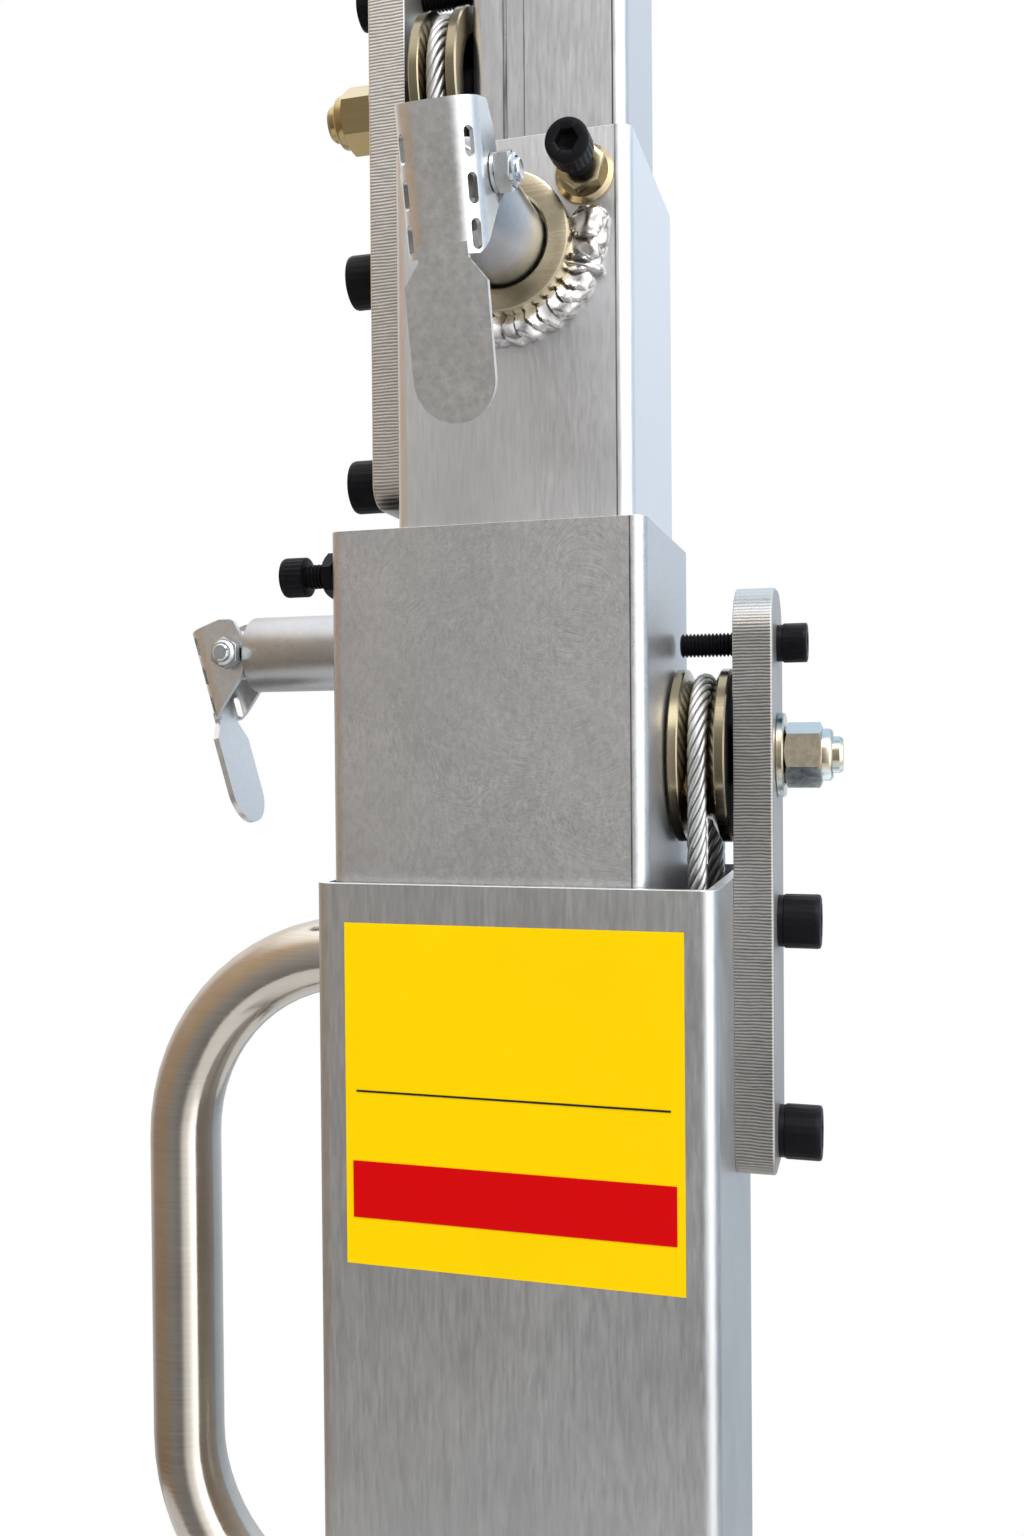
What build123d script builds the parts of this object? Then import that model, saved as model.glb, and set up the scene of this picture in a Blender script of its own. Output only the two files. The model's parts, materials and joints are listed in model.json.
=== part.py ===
from build123d import *
import math
import os
from typing import NamedTuple

# Lifting tower: four nested aluminium tubes raised by one wire rope from a hand winch, on a base
# with four removable legs. X runs to the right of the rating plate's side, Y to the back and Z up,
# in millimetres. The floor is Z = 0 under the mast's axis.


class Section(NamedTuple):
    """Outer faces of one mast tube."""
    left: float
    right: float
    front: float
    back: float
    bottom: float
    top: float
    corner: float


class CapScrew(NamedTuple):
    """Socket head screw: radii of head, shank and socket corners, and the head's height."""
    head: float
    height: float
    shank: float
    socket: float


class Disc(NamedTuple):
    """Radius and thickness of a round or six-sided piece on an axis."""
    radius: float
    thick: float


# Mast tubes: five, four, three and two inches wide
INCH = 25.4
WALL = 3.2
SLIDE_GAP = 1.1
STEP_IN = WALL + SLIDE_GAP
MAST_DEPTH = 95.0
TOP_1 = 1400.0
RISE_2 = 111.0
RISE_3 = 229.0
TOWER_HEIGHT = 1800.0
LOAD_PLATE = (140.0, 110.0, 10.0)
LOAD_PLATE_CORNER = 10.0
LOAD_HOLE_GRID = (100.0, 80.0)
LOAD_HOLE_RADIUS = 5.5
MAST_1 = Section(-2.5 * INCH, 2.5 * INCH, -MAST_DEPTH / 2, MAST_DEPTH / 2, 50.0, TOP_1, 5.0)
MAST_2 = Section(MAST_1.left + STEP_IN, MAST_1.left + STEP_IN + 4 * INCH, MAST_1.front + STEP_IN,
                 MAST_1.back - STEP_IN, 51.0, TOP_1 + RISE_2, 4.5)
MAST_3 = Section(MAST_2.right - STEP_IN - 3 * INCH, MAST_2.right - STEP_IN, MAST_2.front + STEP_IN,
                 MAST_2.back - STEP_IN, 180.0, TOP_1 + RISE_3, 4.5)
MAST_4_FRONT = -22.4
MAST_4 = Section(MAST_3.right - STEP_IN - 2 * INCH, MAST_3.right - STEP_IN, MAST_4_FRONT,
                 MAST_4_FRONT + 2 * INCH, 300.0, TOWER_HEIGHT - LOAD_PLATE[2], 4.0)
PIN_TRACK_WIDTH = 6.2
PIN_TRACK_DEPTH = 0.8
PIN_TRACK_X = -2.5
PAST_END = 5.0

# Clearances: a hole round a bolt, a running bore, a sliding bore and a gap between faces
HOLE_PLAY = 0.1
RUNNING = 0.05
SLIDING = 0.08
FACE_GAP = 0.3

# Wire rope and the sheaves that it runs over
ROPE_RADIUS = 3.175
GROOVE_RADIUS = 3.55
HEAD_SHEAVE_WIDTHS = {1: 18.4, 3: 16.0}
SHEAVE_TO_TUBE = 0.95
ROPE_X_1 = MAST_2.right + SHEAVE_TO_TUBE + HEAD_SHEAVE_WIDTHS[1] / 2
ROPE_X_2 = (MAST_2.left + WALL + MAST_3.left) / 2
ROPE_X_3 = MAST_4.left - SHEAVE_TO_TUBE - HEAD_SHEAVE_WIDTHS[3] / 2
HEAD_SHEAVE_STANDS = {1: MAST_1.right - ROPE_X_1, 3: ROPE_X_3 - MAST_3.left}
TOP_PITCH = 24.5
HEAD_1_Y = 14.5
HEAD_1_Z = TOP_1 + 39.0
HEAD_3_Y = -6.5
HEAD_3_Z = TOP_1 + RISE_3 + 28.0
STRAND_1_Y = HEAD_1_Y - TOP_PITCH
LEAD_Y = HEAD_1_Y + TOP_PITCH
ROPE_SLOT_HALF = 7.0
SHEAVE_FLANGE = 29.0
SHEAVE_RIM = 3.4
SHEAVE_RECESS = Disc(15.0, 5.0)
SHEAVE_2_PITCH = 22.5
SHEAVE_2_FLANGE = 26.0
SHEAVE_2_WIDTH = 12.0
SHEAVE_2_Y = STRAND_1_Y + SHEAVE_2_PITCH
SHEAVE_2_Z = 1425.0
SHEAVE_2_WASHER = Disc(10.0, 1.3)
SHEAVE_2_COLLAR = 9.0
SHEAVE_2_AXLE_LENGTH = 20.0
FOOT_2_Z = 109.0
FOOT_2_X = (ROPE_X_1 + ROPE_X_2) / 2
FOOT_2_PITCH = (ROPE_X_1 - ROPE_X_2) / 2
FOOT_2_LIP = 3.5
FOOT_2_WIDTH = 12.0
FOOT_2_SLOT_HALF = 8.0
FOOT_2_SLOT_RISE = 62.0
FOOT_3_Z = 220.0
FOOT_3_LIP = 1.8
FOOT_3_WIDTH = 9.6
FOOT_3_OUTER = Vector(ROPE_X_2, SHEAVE_2_Y + SHEAVE_2_PITCH, FOOT_3_Z)
FOOT_3_INNER = Vector(ROPE_X_3, HEAD_3_Y - TOP_PITCH, FOOT_3_Z)
FOOT_3_CENTRE = (FOOT_3_OUTER + FOOT_3_INNER) * 0.5
FOOT_3_PITCH = (FOOT_3_OUTER - FOOT_3_INNER).length / 2
FOOT_3_AXIS = (FOOT_3_OUTER - FOOT_3_INNER).cross(Vector(0, 0, 1)).normalized()
FORK_INSIDE = FOOT_3_WIDTH / 2 + FACE_GAP
FORK_OUTSIDE = FORK_INSIDE + 3.8
FORK_WIDTH = 22.0
FORK_RISE = 45.0
FORK_DROP = 10.0
FORK_BRIDGE = 7.0
SPACER_RADIUS = 10.0

# Pulley head plates, their screws, rope keeper and axle
M8 = CapScrew(6.5, 8.0, 4.0, 3.45)
M12 = CapScrew(9.0, 12.0, 6.0, 5.75)
M12_NUT = Disc(10.4, 10.0)
M12_PAST_FACE = 15.0
SPRING_WASHER = 1.8
SPRING_WASHER_INSET = 0.4
PLATE_THICK = 12.7
PLATE_WIDTH = 40.0
PLATE_ABOVE = 55.0
PLATE_BELOW = 136.0
PLATE_TOP_RADIUS = 17.0
PLATE_FOOT_RADIUS = 8.0
PLATE_EDGE = 0.6
PLATE_SCREW_DROPS = (55.0, 125.0)
KEEPER_RISE = 37.0
KEEPER_REACH = 19.2
AXLE_RADIUS = 6.0
AXLE_HEAD = Disc(11.0, 4.3)
AXLE_WASHER = Disc(14.0, 2.5)
AXLE_NUT = Disc(10.97, 12.0)
AXLE_NUT_TURNS = {1: 38.5, 3: 30.0}
AXLE_NUT_CROWN = Disc(8.6, 3.4)
AXLE_END = 21.0

# Spring pin locks, with the pull lever hanging on the pin's round outer end
LOCK_DROP = 34.5
LOCK_1_X = -10.0
LOCK_2_Y = 6.0
LOCK_3_X = 0.0
COLLAR_RADIUS = 21.0
COLLAR_BORE = 14.2
COLLAR_LENGTH = 10.0
GUIDE_RADIUS = 13.45
GUIDE_LENGTH = 49.6
PIN_RADIUS = 9.0
PIN_GAP = 0.5
PIN_CHAMFER = 1.5
BOLT_REACH = GUIDE_LENGTH + 5.1
BOLT_RADIUS = 3.0
BOLT_HEAD = Disc(4.8, 2.2)
BOLT_NUT = Disc(5.66, 5.0)
BOLT_PAST_LEVER = 7.5
LEVER_WIDTH = 22.6
LEVER_SHEET = 2.0
LEVER_FOLD = 7.0
LEVER_HANG = 16.0
LEVER_WEB = 15.0
LEVER_CAM = ((-4.2, 11.5), (-6.0, 3.3), (-2.8, -7.9))
LEVER_NECK = -20.5
LEVER_NECK_HALF = 6.9
LEVER_TOPS = {1: 12.0, 2: 12.0, 3: 17.0}
LEVER_SLOTS = 3
LEVER_SLOT = (7.6, 2.8)
LEVER_SLOT_RISE = 4.7
LEVER_SLOT_STEP = 11.05
LEVER_CORNER = 2.5
PADDLE_RADIUS = 11.5
PADDLE_DROPS = {1: 47.5, 2: 47.5, 3: 51.5}

# Adjusting screws, near the rim of each outer tube
ADJUST_DROPS = {1: 14.0, 2: 12.3, 3: 14.0}
ADJUST_EDGES = {1: 12.7, 2: 12.7, 3: 14.1}
ADJUST_REACHES = {1: 22.0, 2: 20.6, 3: 24.4}
ADJUST_GAP = 0.4
ADJUST_NUT = Disc(7.5, 8.0)
ADJUST_FLANGE = Disc(9.0, 1.6)

# Nylon slide pads and the rope's end block
PAD_THICK = 0.8
PAD_FOOT = 10.0
PAD_LENGTH = 100.0
SIDE_PAD_LENGTH = 70.0
TOP_PAD_LENGTH = 60.0
PAD_GAP = 0.4
ANCHOR_HALF_DEPTH = 9.0
ANCHOR_HEIGHT = 40.0
ANCHOR_PAST_ROPE = 5.5

# Carrying handle on the left of the outer tube
HANDLE_RADIUS = INCH / 2
HANDLE_WALL = 1.5
HANDLE_BEND = 69.5
HANDLE_STAND = 74.5
HANDLE_STRAIGHT = 109.0
HANDLE_TOP_Z = TOP_1 - 29.5
HANDLE_Y = 2.0

# Base, legs, jacks and transport wheels
SLEEVE_WALL = 6.0
SLEEVE_TOP = 200.0
SLEEVE_CORNER = 8.0
BASE_PLATE = (240.0, 116.0, 10.0)
BASE_PLATE_CORNER = 12.0
SOCKET_SIZE = 60.0
SOCKET_WALL = 4.0
SOCKET_LENGTH = 160.0
WELD_LAP = 1.0
GUSSET_THICK = 8.0
GUSSET_REACH = 110.0
LEG_SIZE = 50.0
LEG_WALL = 3.0
LEG_LENGTH = 700.0
LEG_Z = 80.0
LEG_START = 10.0
LEGS = {"right": 0, "back": 90, "left": 180, "front": 270}
KNOB_FROM_END = 22.0
KNOB_STUD = Disc(5.0, 26.0)
KNOB_HEAD = Disc(16.0, 18.0)
KNOB_LOBES = 6
KNOB_LOBE_RADIUS = 6.0
JACK_SCREW = Disc(10.0, 270.0)
JACK_NUT = Disc(19.0, 85.0)
JACK_NUT_Z = 40.0
JACK_NUT_LAP = 6.0
JACK_FOOT = Disc(45.0, 8.0)
JACK_NECK_RADIUS = 15.0
JACK_CONE = Disc(26.0, 18.0)
JACK_BAR = Disc(6.0, 140.0)
JACK_BAR_Z = 256.0
WHEEL_RADIUS = 62.5
WHEEL_WIDTH = 30.0
WHEEL_AT = (85.0, 120.0, 66.5)
WHEEL_SHOULDER = (5.0, 6.0)
WHEEL_HUB = 20.0
WHEEL_TYRE = 44.0
WHEEL_DISH = (2.0, 4.0)
WHEEL_BLOCK = 30.0
WHEEL_BLOCK_CORNER = 5.0
WHEEL_GAP = 0.4
STUB_RADIUS = 6.0
STUB_HEAD = Disc(10.0, 3.2)

# Hand winch on the back of the outer tube
DRUM_Y = 105.0
DRUM_Z = 800.0
DRUM_RADIUS = 29.7
DRUM_PITCH = DRUM_RADIUS + ROPE_RADIUS + FACE_GAP
DRUM_LEFT = -29.5
DRUM_RIGHT = 56.2
DRUM_FLANGE = Disc(52.0, 3.0)
SHAFT_RADIUS = 8.0
SHAFT_PAST_CHEEK = 3.0
CHEEK_THICK = 5.0
CHEEK_GAP = 0.5
CHEEK_DEPTH = 102.0
CHEEK_CORNER = 22.0
CHEEK_ABOVE_PINION = 32.0
FRAME_LOW_Z = DRUM_Z - 55.0
FRAME_HIGH_Z = DRUM_Z + 50.0
GEAR = Disc(50.0, 10.0)
GEAR_GAP = 1.0
PINION_RADIUS = 12.0
MESH_GAP = 0.4
PINION_Z = DRUM_Z + GEAR.radius + PINION_RADIUS + MESH_GAP
COVER_OUTER = (7.0, 16.0)
COVER_INNER = (5.0, 14.0)
CRANK_LENGTH = 220.0
CRANK_WIDTH = 26.0
CRANK_THICK = 8.0
CRANK_STAND = 45.0
CRANK_PIN = Disc(6.0, 112.0)
CRANK_PIN_HEAD = Disc(9.0, 4.0)
GRIP_START = 4.0
GRIP_LENGTH = 104.0
GRIP_END_RADIUS = 13.0
GRIP_RADIUS = 15.0
GRIP_TAPERS = (20.0, 80.0)
GUIDE_ROLL = 20.0
GUIDE_ROLL_WIDTH = 12.0
GUIDE_BLOCK = (22.0, 8.0, 46.0)
GUIDE_BLOCK_RISE = 24.0
GUIDE_Z = 940.0
ROPE_SLOT_BELOW = 60.0
ROPE_SLOT_ABOVE = 22.0
WINDING_TURNS = 4
WINDING_PITCH = 6.9

UP = Vector(0, 0, 1)
STANDING = (Align.CENTER, Align.CENTER, Align.MIN)
HANGING = (Align.CENTER, Align.CENTER, Align.MAX)


def save(piece, name):
    """Label a finished piece and write its STEP file."""
    piece.part.label = name
    export_step(piece.part, f"parts/{name}.step")


def wall_plane(x, y, z, outward):
    """Plane on a wall: its z axis points out of the wall and its y axis up."""
    return Plane(origin=(x, y, z), x_dir=UP.cross(Vector(*outward)), z_dir=outward)


def across_plane(x, y, z):
    """Plane square to X, with its x axis to the back and its y axis up."""
    return wall_plane(x, y, z, (1, 0, 0))


def shifted(plane, across, up):
    """Copy of a plane moved within itself."""
    return Plane(origin=plane.origin + plane.x_dir * across + plane.y_dir * up, x_dir=plane.x_dir,
                 z_dir=plane.z_dir)


HEAD_1 = wall_plane(MAST_1.right, HEAD_1_Y, HEAD_1_Z, (1, 0, 0))
HEAD_3 = wall_plane(MAST_3.left, HEAD_3_Y, HEAD_3_Z, (-1, 0, 0))
LOCKS = {
    1: wall_plane(LOCK_1_X, MAST_1.back, MAST_1.top - LOCK_DROP, (0, 1, 0)),
    2: wall_plane(MAST_2.left, LOCK_2_Y, MAST_2.top - LOCK_DROP, (-1, 0, 0)),
    3: wall_plane(LOCK_3_X, MAST_3.front, MAST_3.top - LOCK_DROP, (0, -1, 0)),
}
LOCK_DEPTHS = {1: MAST_1.back - MAST_2.back, 2: MAST_3.left - MAST_2.left, 3: MAST_4.front - MAST_3.front}
ADJUSTERS = {
    1: wall_plane(MAST_1.left + ADJUST_EDGES[1], MAST_1.back, MAST_1.top - ADJUST_DROPS[1], (0, 1, 0)),
    2: wall_plane(MAST_2.left, MAST_2.front + ADJUST_EDGES[2], MAST_2.top - ADJUST_DROPS[2], (-1, 0, 0)),
    3: wall_plane(MAST_3.right - ADJUST_EDGES[3], MAST_3.front, MAST_3.top - ADJUST_DROPS[3], (0, -1, 0)),
}


def make_mast_tube(name, section, holes, slots):
    """Rounded tube with round holes (plane, radius) through one wall and box slots (low, high)."""
    middle = ((section.left + section.right) / 2, (section.front + section.back) / 2)
    width = section.right - section.left
    depth = section.back - section.front
    with BuildPart() as tube:
        with BuildSketch(Plane.XY.offset(section.bottom)):
            with Locations(middle):
                RectangleRounded(width, depth, section.corner)
                RectangleRounded(width - 2 * WALL, depth - 2 * WALL, section.corner - WALL,
                                 mode=Mode.SUBTRACT)
        extrude(amount=section.top - section.bottom)
        for plane, radius in holes:
            with Locations(plane):
                Cylinder(radius, 4 * WALL, mode=Mode.SUBTRACT)
        for low, high in slots:
            size = [b - a for a, b in zip(low, high)]
            with Locations(tuple((a + b) / 2 for a, b in zip(low, high))):
                Box(*size, mode=Mode.SUBTRACT)
    save(tube, name)


def lock_and_adjuster_holes(number):
    """Holes that the lock pin and the adjusting screw need in their tube's wall."""
    return [(LOCKS[number], PIN_RADIUS + FACE_GAP), (ADJUSTERS[number], M8.shank + HOLE_PLAY)]


def head_holes(head):
    """Holes that a pulley head's two screws need in its tube's wall."""
    return [(shifted(head, 0, -drop), M12.shank + HOLE_PLAY) for drop in PLATE_SCREW_DROPS]


def make_mast_tubes():
    """The four telescoping tubes."""
    rope_slot = ((ROPE_X_1 - ROPE_SLOT_HALF, MAST_1.back - 2 * WALL, GUIDE_Z - ROPE_SLOT_BELOW),
                 (ROPE_X_1 + ROPE_SLOT_HALF, MAST_1.back + WALL, GUIDE_Z + ROPE_SLOT_ABOVE))
    make_mast_tube("mast_1_tube", MAST_1, lock_and_adjuster_holes(1) + head_holes(HEAD_1), [rope_slot])

    axle_hole = AXLE_RADIUS + HOLE_PLAY
    axle_holes = [(wall_plane(FOOT_2_X, MAST_2.front, FOOT_2_Z, (0, -1, 0)), axle_hole),
                  (wall_plane(FOOT_2_X, MAST_2.back, FOOT_2_Z, (0, 1, 0)), axle_hole),
                  (wall_plane(MAST_2.left, SHEAVE_2_Y, SHEAVE_2_Z, (-1, 0, 0)), axle_hole)]
    sheave_slot = ((MAST_2.right - 2 * WALL, STRAND_1_Y - FOOT_2_SLOT_HALF, MAST_2.bottom - PAST_END),
                   (MAST_2.right + WALL, STRAND_1_Y + FOOT_2_SLOT_HALF, FOOT_2_Z + FOOT_2_SLOT_RISE))
    make_mast_tube("mast_2_tube", MAST_2, lock_and_adjuster_holes(2) + axle_holes, [sheave_slot])

    foot_notch = ((MAST_3.left - WALL, MAST_3.front + PAST_END, MAST_3.bottom - PAST_END),
                  (MAST_3.left + 2 * WALL, MAST_3.back - PAST_END, FOOT_3_Z + FORK_RISE))
    make_mast_tube("mast_3_tube", MAST_3, lock_and_adjuster_holes(3) + head_holes(HEAD_3), [foot_notch])

    pin_track = ((PIN_TRACK_X - PIN_TRACK_WIDTH / 2, MAST_4.front - 1, MAST_4.bottom - PAST_END),
                 (PIN_TRACK_X + PIN_TRACK_WIDTH / 2, MAST_4.front + PIN_TRACK_DEPTH, MAST_4.top + PAST_END))
    make_mast_tube("mast_4_tube", MAST_4, [], [pin_track])


def make_sheave(name, centre, axis, pitch, flange, width, recess=None):
    """Grooved wheel about an axis, with or without a recess on its inner side for the axle's head."""
    axle = Vector(*axis).normalized()
    half = width / 2
    bore = AXLE_RADIUS + RUNNING
    rim = min(SHEAVE_RIM, half - GROOVE_RADIUS - 0.2)
    with BuildPart() as wheel:
        with BuildSketch(Plane(origin=centre, x_dir=UP, z_dir=UP.cross(axle))):
            with BuildLine():
                Polyline((pitch, GROOVE_RADIUS), (flange, half - rim), (flange, half), (bore, half),
                         (bore, -half), (flange, -half), (flange, rim - half), (pitch, -GROOVE_RADIUS))
                ThreePointArc((pitch, -GROOVE_RADIUS), (pitch - GROOVE_RADIUS, 0), (pitch, GROOVE_RADIUS))
            make_face()
        revolve(axis=Axis(centre, tuple(axle)))
        rims = [e for e in wheel.edges().filter_by(GeomType.CIRCLE) if abs(e.radius - flange) < 1e-3]
        fillet(rims, 0.3 * rim)
        if recess:
            with Locations(Plane(origin=Vector(*centre) - axle * half, z_dir=axle)):
                Cylinder(recess.radius, 2 * recess.thick, mode=Mode.SUBTRACT)
    save(wheel, name)


def make_sheaves():
    """The two head sheaves, the one inside the second tube and the two at the tubes' feet."""
    make_sheave("sheave_1", (ROPE_X_1, HEAD_1_Y, HEAD_1_Z), (1, 0, 0), TOP_PITCH, SHEAVE_FLANGE,
                HEAD_SHEAVE_WIDTHS[1], SHEAVE_RECESS)
    make_sheave("sheave_3", (ROPE_X_3, HEAD_3_Y, HEAD_3_Z), (-1, 0, 0), TOP_PITCH, SHEAVE_FLANGE,
                HEAD_SHEAVE_WIDTHS[3], SHEAVE_RECESS)
    make_sheave("sheave_2", (ROPE_X_2, SHEAVE_2_Y, SHEAVE_2_Z), (1, 0, 0), SHEAVE_2_PITCH, SHEAVE_2_FLANGE,
                SHEAVE_2_WIDTH)
    make_sheave("foot_sheave_2", (FOOT_2_X, STRAND_1_Y, FOOT_2_Z), (0, 1, 0), FOOT_2_PITCH,
                FOOT_2_PITCH + FOOT_2_LIP, FOOT_2_WIDTH)
    make_sheave("foot_sheave_3", tuple(FOOT_3_CENTRE), tuple(FOOT_3_AXIS), FOOT_3_PITCH,
                FOOT_3_PITCH + FOOT_3_LIP, FOOT_3_WIDTH)


def make_head_plate(name, head):
    """Flat bar bolted beside a tube's rim, rounded at its top, that carries a sheave's axle."""
    with BuildPart() as plate:
        with BuildSketch(head) as outline:
            with Locations((0, (PLATE_ABOVE - PLATE_BELOW) / 2)):
                Rectangle(PLATE_WIDTH, PLATE_ABOVE + PLATE_BELOW)
            fillet(outline.vertices().group_by(Axis.Y)[-1], PLATE_TOP_RADIUS)
            fillet(outline.vertices().group_by(Axis.Y)[0], PLATE_FOOT_RADIUS)
            Circle(AXLE_RADIUS + HOLE_PLAY, mode=Mode.SUBTRACT)
            with Locations((0, KEEPER_RISE)):
                Circle(M8.shank + HOLE_PLAY, mode=Mode.SUBTRACT)
            with Locations(*[(0, -drop) for drop in PLATE_SCREW_DROPS]):
                Circle(M12.shank + HOLE_PLAY, mode=Mode.SUBTRACT)
        extrude(amount=PLATE_THICK)
        outer = plate.faces().sort_by(Axis(head.origin, head.z_dir))[-1]
        chamfer(outer.outer_wire().edges(), PLATE_EDGE)
    save(plate, name)


def make_head_screws(name, head):
    """Two M12 cap screws with nuts inside the tube, and the M8 screw that keeps the rope on its sheave."""
    seat = head.offset(PLATE_THICK)
    screws_at = [(M12, -drop, M12_PAST_FACE) for drop in PLATE_SCREW_DROPS]
    screws_at.append((M8, KEEPER_RISE, KEEPER_REACH))
    with BuildPart() as screws:
        for screw, rise, reach in screws_at:
            with Locations(shifted(seat, 0, rise)):
                Cylinder(screw.head - SPRING_WASHER_INSET, SPRING_WASHER, align=STANDING)
                Cylinder(screw.shank, PLATE_THICK + reach, align=HANGING)
            with Locations(shifted(seat.offset(SPRING_WASHER), 0, rise)):
                Cylinder(screw.head, screw.height, align=STANDING)
            with BuildSketch(shifted(seat.offset(SPRING_WASHER + screw.height), 0, rise)):
                RegularPolygon(screw.socket, 6)
            extrude(amount=-screw.height / 2, mode=Mode.SUBTRACT)
        for drop in PLATE_SCREW_DROPS:
            with BuildSketch(shifted(head.offset(-WALL), 0, -drop)):
                RegularPolygon(M12_NUT.radius, 6)
                Circle(M12.shank + HOLE_PLAY, mode=Mode.SUBTRACT)
            extrude(amount=-M12_NUT.thick)
    save(screws, name)


def make_head_axle(number, head):
    """M12 axle bolt with its head sunk in the sheave, a spacer sleeve, a washer and a lock nut."""
    sheave_at = -HEAD_SHEAVE_STANDS[number]
    half_width = HEAD_SHEAVE_WIDTHS[number] / 2
    web = sheave_at - half_width + SHEAVE_RECESS.thick
    spacer_start = sheave_at + half_width + FACE_GAP
    nut_seat = PLATE_THICK + AXLE_WASHER.thick
    crown_seat = nut_seat + AXLE_NUT.thick
    rings = ((spacer_start, SPACER_RADIUS, -spacer_start), (PLATE_THICK, *AXLE_WASHER),
             (crown_seat, *AXLE_NUT_CROWN))
    with BuildPart() as axle:
        with Locations(head.offset(web - FACE_GAP)):
            Cylinder(AXLE_HEAD.radius, AXLE_HEAD.thick, align=HANGING)
            Cylinder(AXLE_RADIUS, PLATE_THICK + AXLE_END - web, align=STANDING)
        for start, radius, length in rings:
            with BuildSketch(head.offset(start)):
                Circle(radius)
                Circle(AXLE_RADIUS + HOLE_PLAY, mode=Mode.SUBTRACT)
            extrude(amount=length)
        with BuildSketch(head.offset(nut_seat)):
            RegularPolygon(AXLE_NUT.radius, 6, rotation=AXLE_NUT_TURNS[number])
            Circle(AXLE_RADIUS + HOLE_PLAY, mode=Mode.SUBTRACT)
        extrude(amount=AXLE_NUT.thick)
    save(axle, f"sheave_{number}_axle")


def make_heads():
    """Pulley head on the right of the first tube and on the left of the third."""
    for number, head in ((1, HEAD_1), (3, HEAD_3)):
        make_head_plate(f"head_{number}_plate", head)
        make_head_screws(f"head_{number}_screws", head)
        make_head_axle(number, head)


def make_inner_axles():
    """Flush axle of the second tube's sheave and the axles at the feet of tubes two and three."""
    collar_start = MAST_2.left + WALL
    collar_length = ROPE_X_2 - SHEAVE_2_WIDTH / 2 - FACE_GAP - collar_start
    washer_start = ROPE_X_2 + SHEAVE_2_WIDTH / 2 + FACE_GAP
    with BuildPart() as stub:
        with Locations(across_plane(MAST_2.left, SHEAVE_2_Y, SHEAVE_2_Z)):
            Cylinder(AXLE_RADIUS, SHEAVE_2_AXLE_LENGTH, align=STANDING)
        with Locations(across_plane(washer_start, SHEAVE_2_Y, SHEAVE_2_Z)):
            Cylinder(SHEAVE_2_WASHER.radius, SHEAVE_2_WASHER.thick, align=STANDING)
        with Locations(across_plane(collar_start, SHEAVE_2_Y, SHEAVE_2_Z)):
            Cylinder(SHEAVE_2_COLLAR, collar_length, align=STANDING)
    save(stub, "sheave_2_axle")

    sheave_side = FOOT_2_WIDTH / 2 + FACE_GAP
    spacers = ((MAST_2.front + WALL, STRAND_1_Y - sheave_side),
               (STRAND_1_Y + sheave_side, MAST_2.back - WALL))
    with BuildPart() as foot_axle:
        with Locations(wall_plane(FOOT_2_X, MAST_2.front, FOOT_2_Z, (0, 1, 0))):
            Cylinder(AXLE_RADIUS, MAST_2.back - MAST_2.front, align=STANDING)
        for start, stop in spacers:
            with Locations(wall_plane(FOOT_2_X, start, FOOT_2_Z, (0, 1, 0))):
                Cylinder(SPACER_RADIUS, stop - start, align=STANDING)
    save(foot_axle, "foot_2_axle")

    fork = Plane(origin=FOOT_3_CENTRE, x_dir=UP.cross(FOOT_3_AXIS), z_dir=FOOT_3_AXIS)
    with BuildPart() as bracket:
        for low in (FORK_INSIDE, -FORK_OUTSIDE):
            with BuildSketch(fork.offset(low)):
                with Locations((0, (FORK_RISE - FORK_DROP) / 2)):
                    Rectangle(FORK_WIDTH, FORK_RISE + FORK_DROP)
            extrude(amount=FORK_OUTSIDE - FORK_INSIDE)
        with BuildSketch(fork.offset(-FORK_OUTSIDE)):
            with Locations((0, FORK_RISE - FORK_BRIDGE / 2)):
                Rectangle(FORK_WIDTH, FORK_BRIDGE)
        extrude(amount=2 * FORK_OUTSIDE)
        with Locations(fork.offset(-FORK_OUTSIDE)):
            Cylinder(AXLE_RADIUS, 2 * FORK_OUTSIDE, align=STANDING)
    save(bracket, "foot_3_bracket")


def make_lock_housing(number):
    """Welded collar and the guide tube that the lock pin slides in."""
    plane = LOCKS[number]
    with BuildPart() as housing:
        with BuildSketch(plane):
            Circle(COLLAR_RADIUS)
            Circle(COLLAR_BORE, mode=Mode.SUBTRACT)
        extrude(amount=COLLAR_LENGTH)
        with BuildSketch(plane):
            Circle(GUIDE_RADIUS)
            Circle(PIN_RADIUS + SLIDING, mode=Mode.SUBTRACT)
        extrude(amount=GUIDE_LENGTH)
    save(housing, f"lock_{number}_housing")


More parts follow.
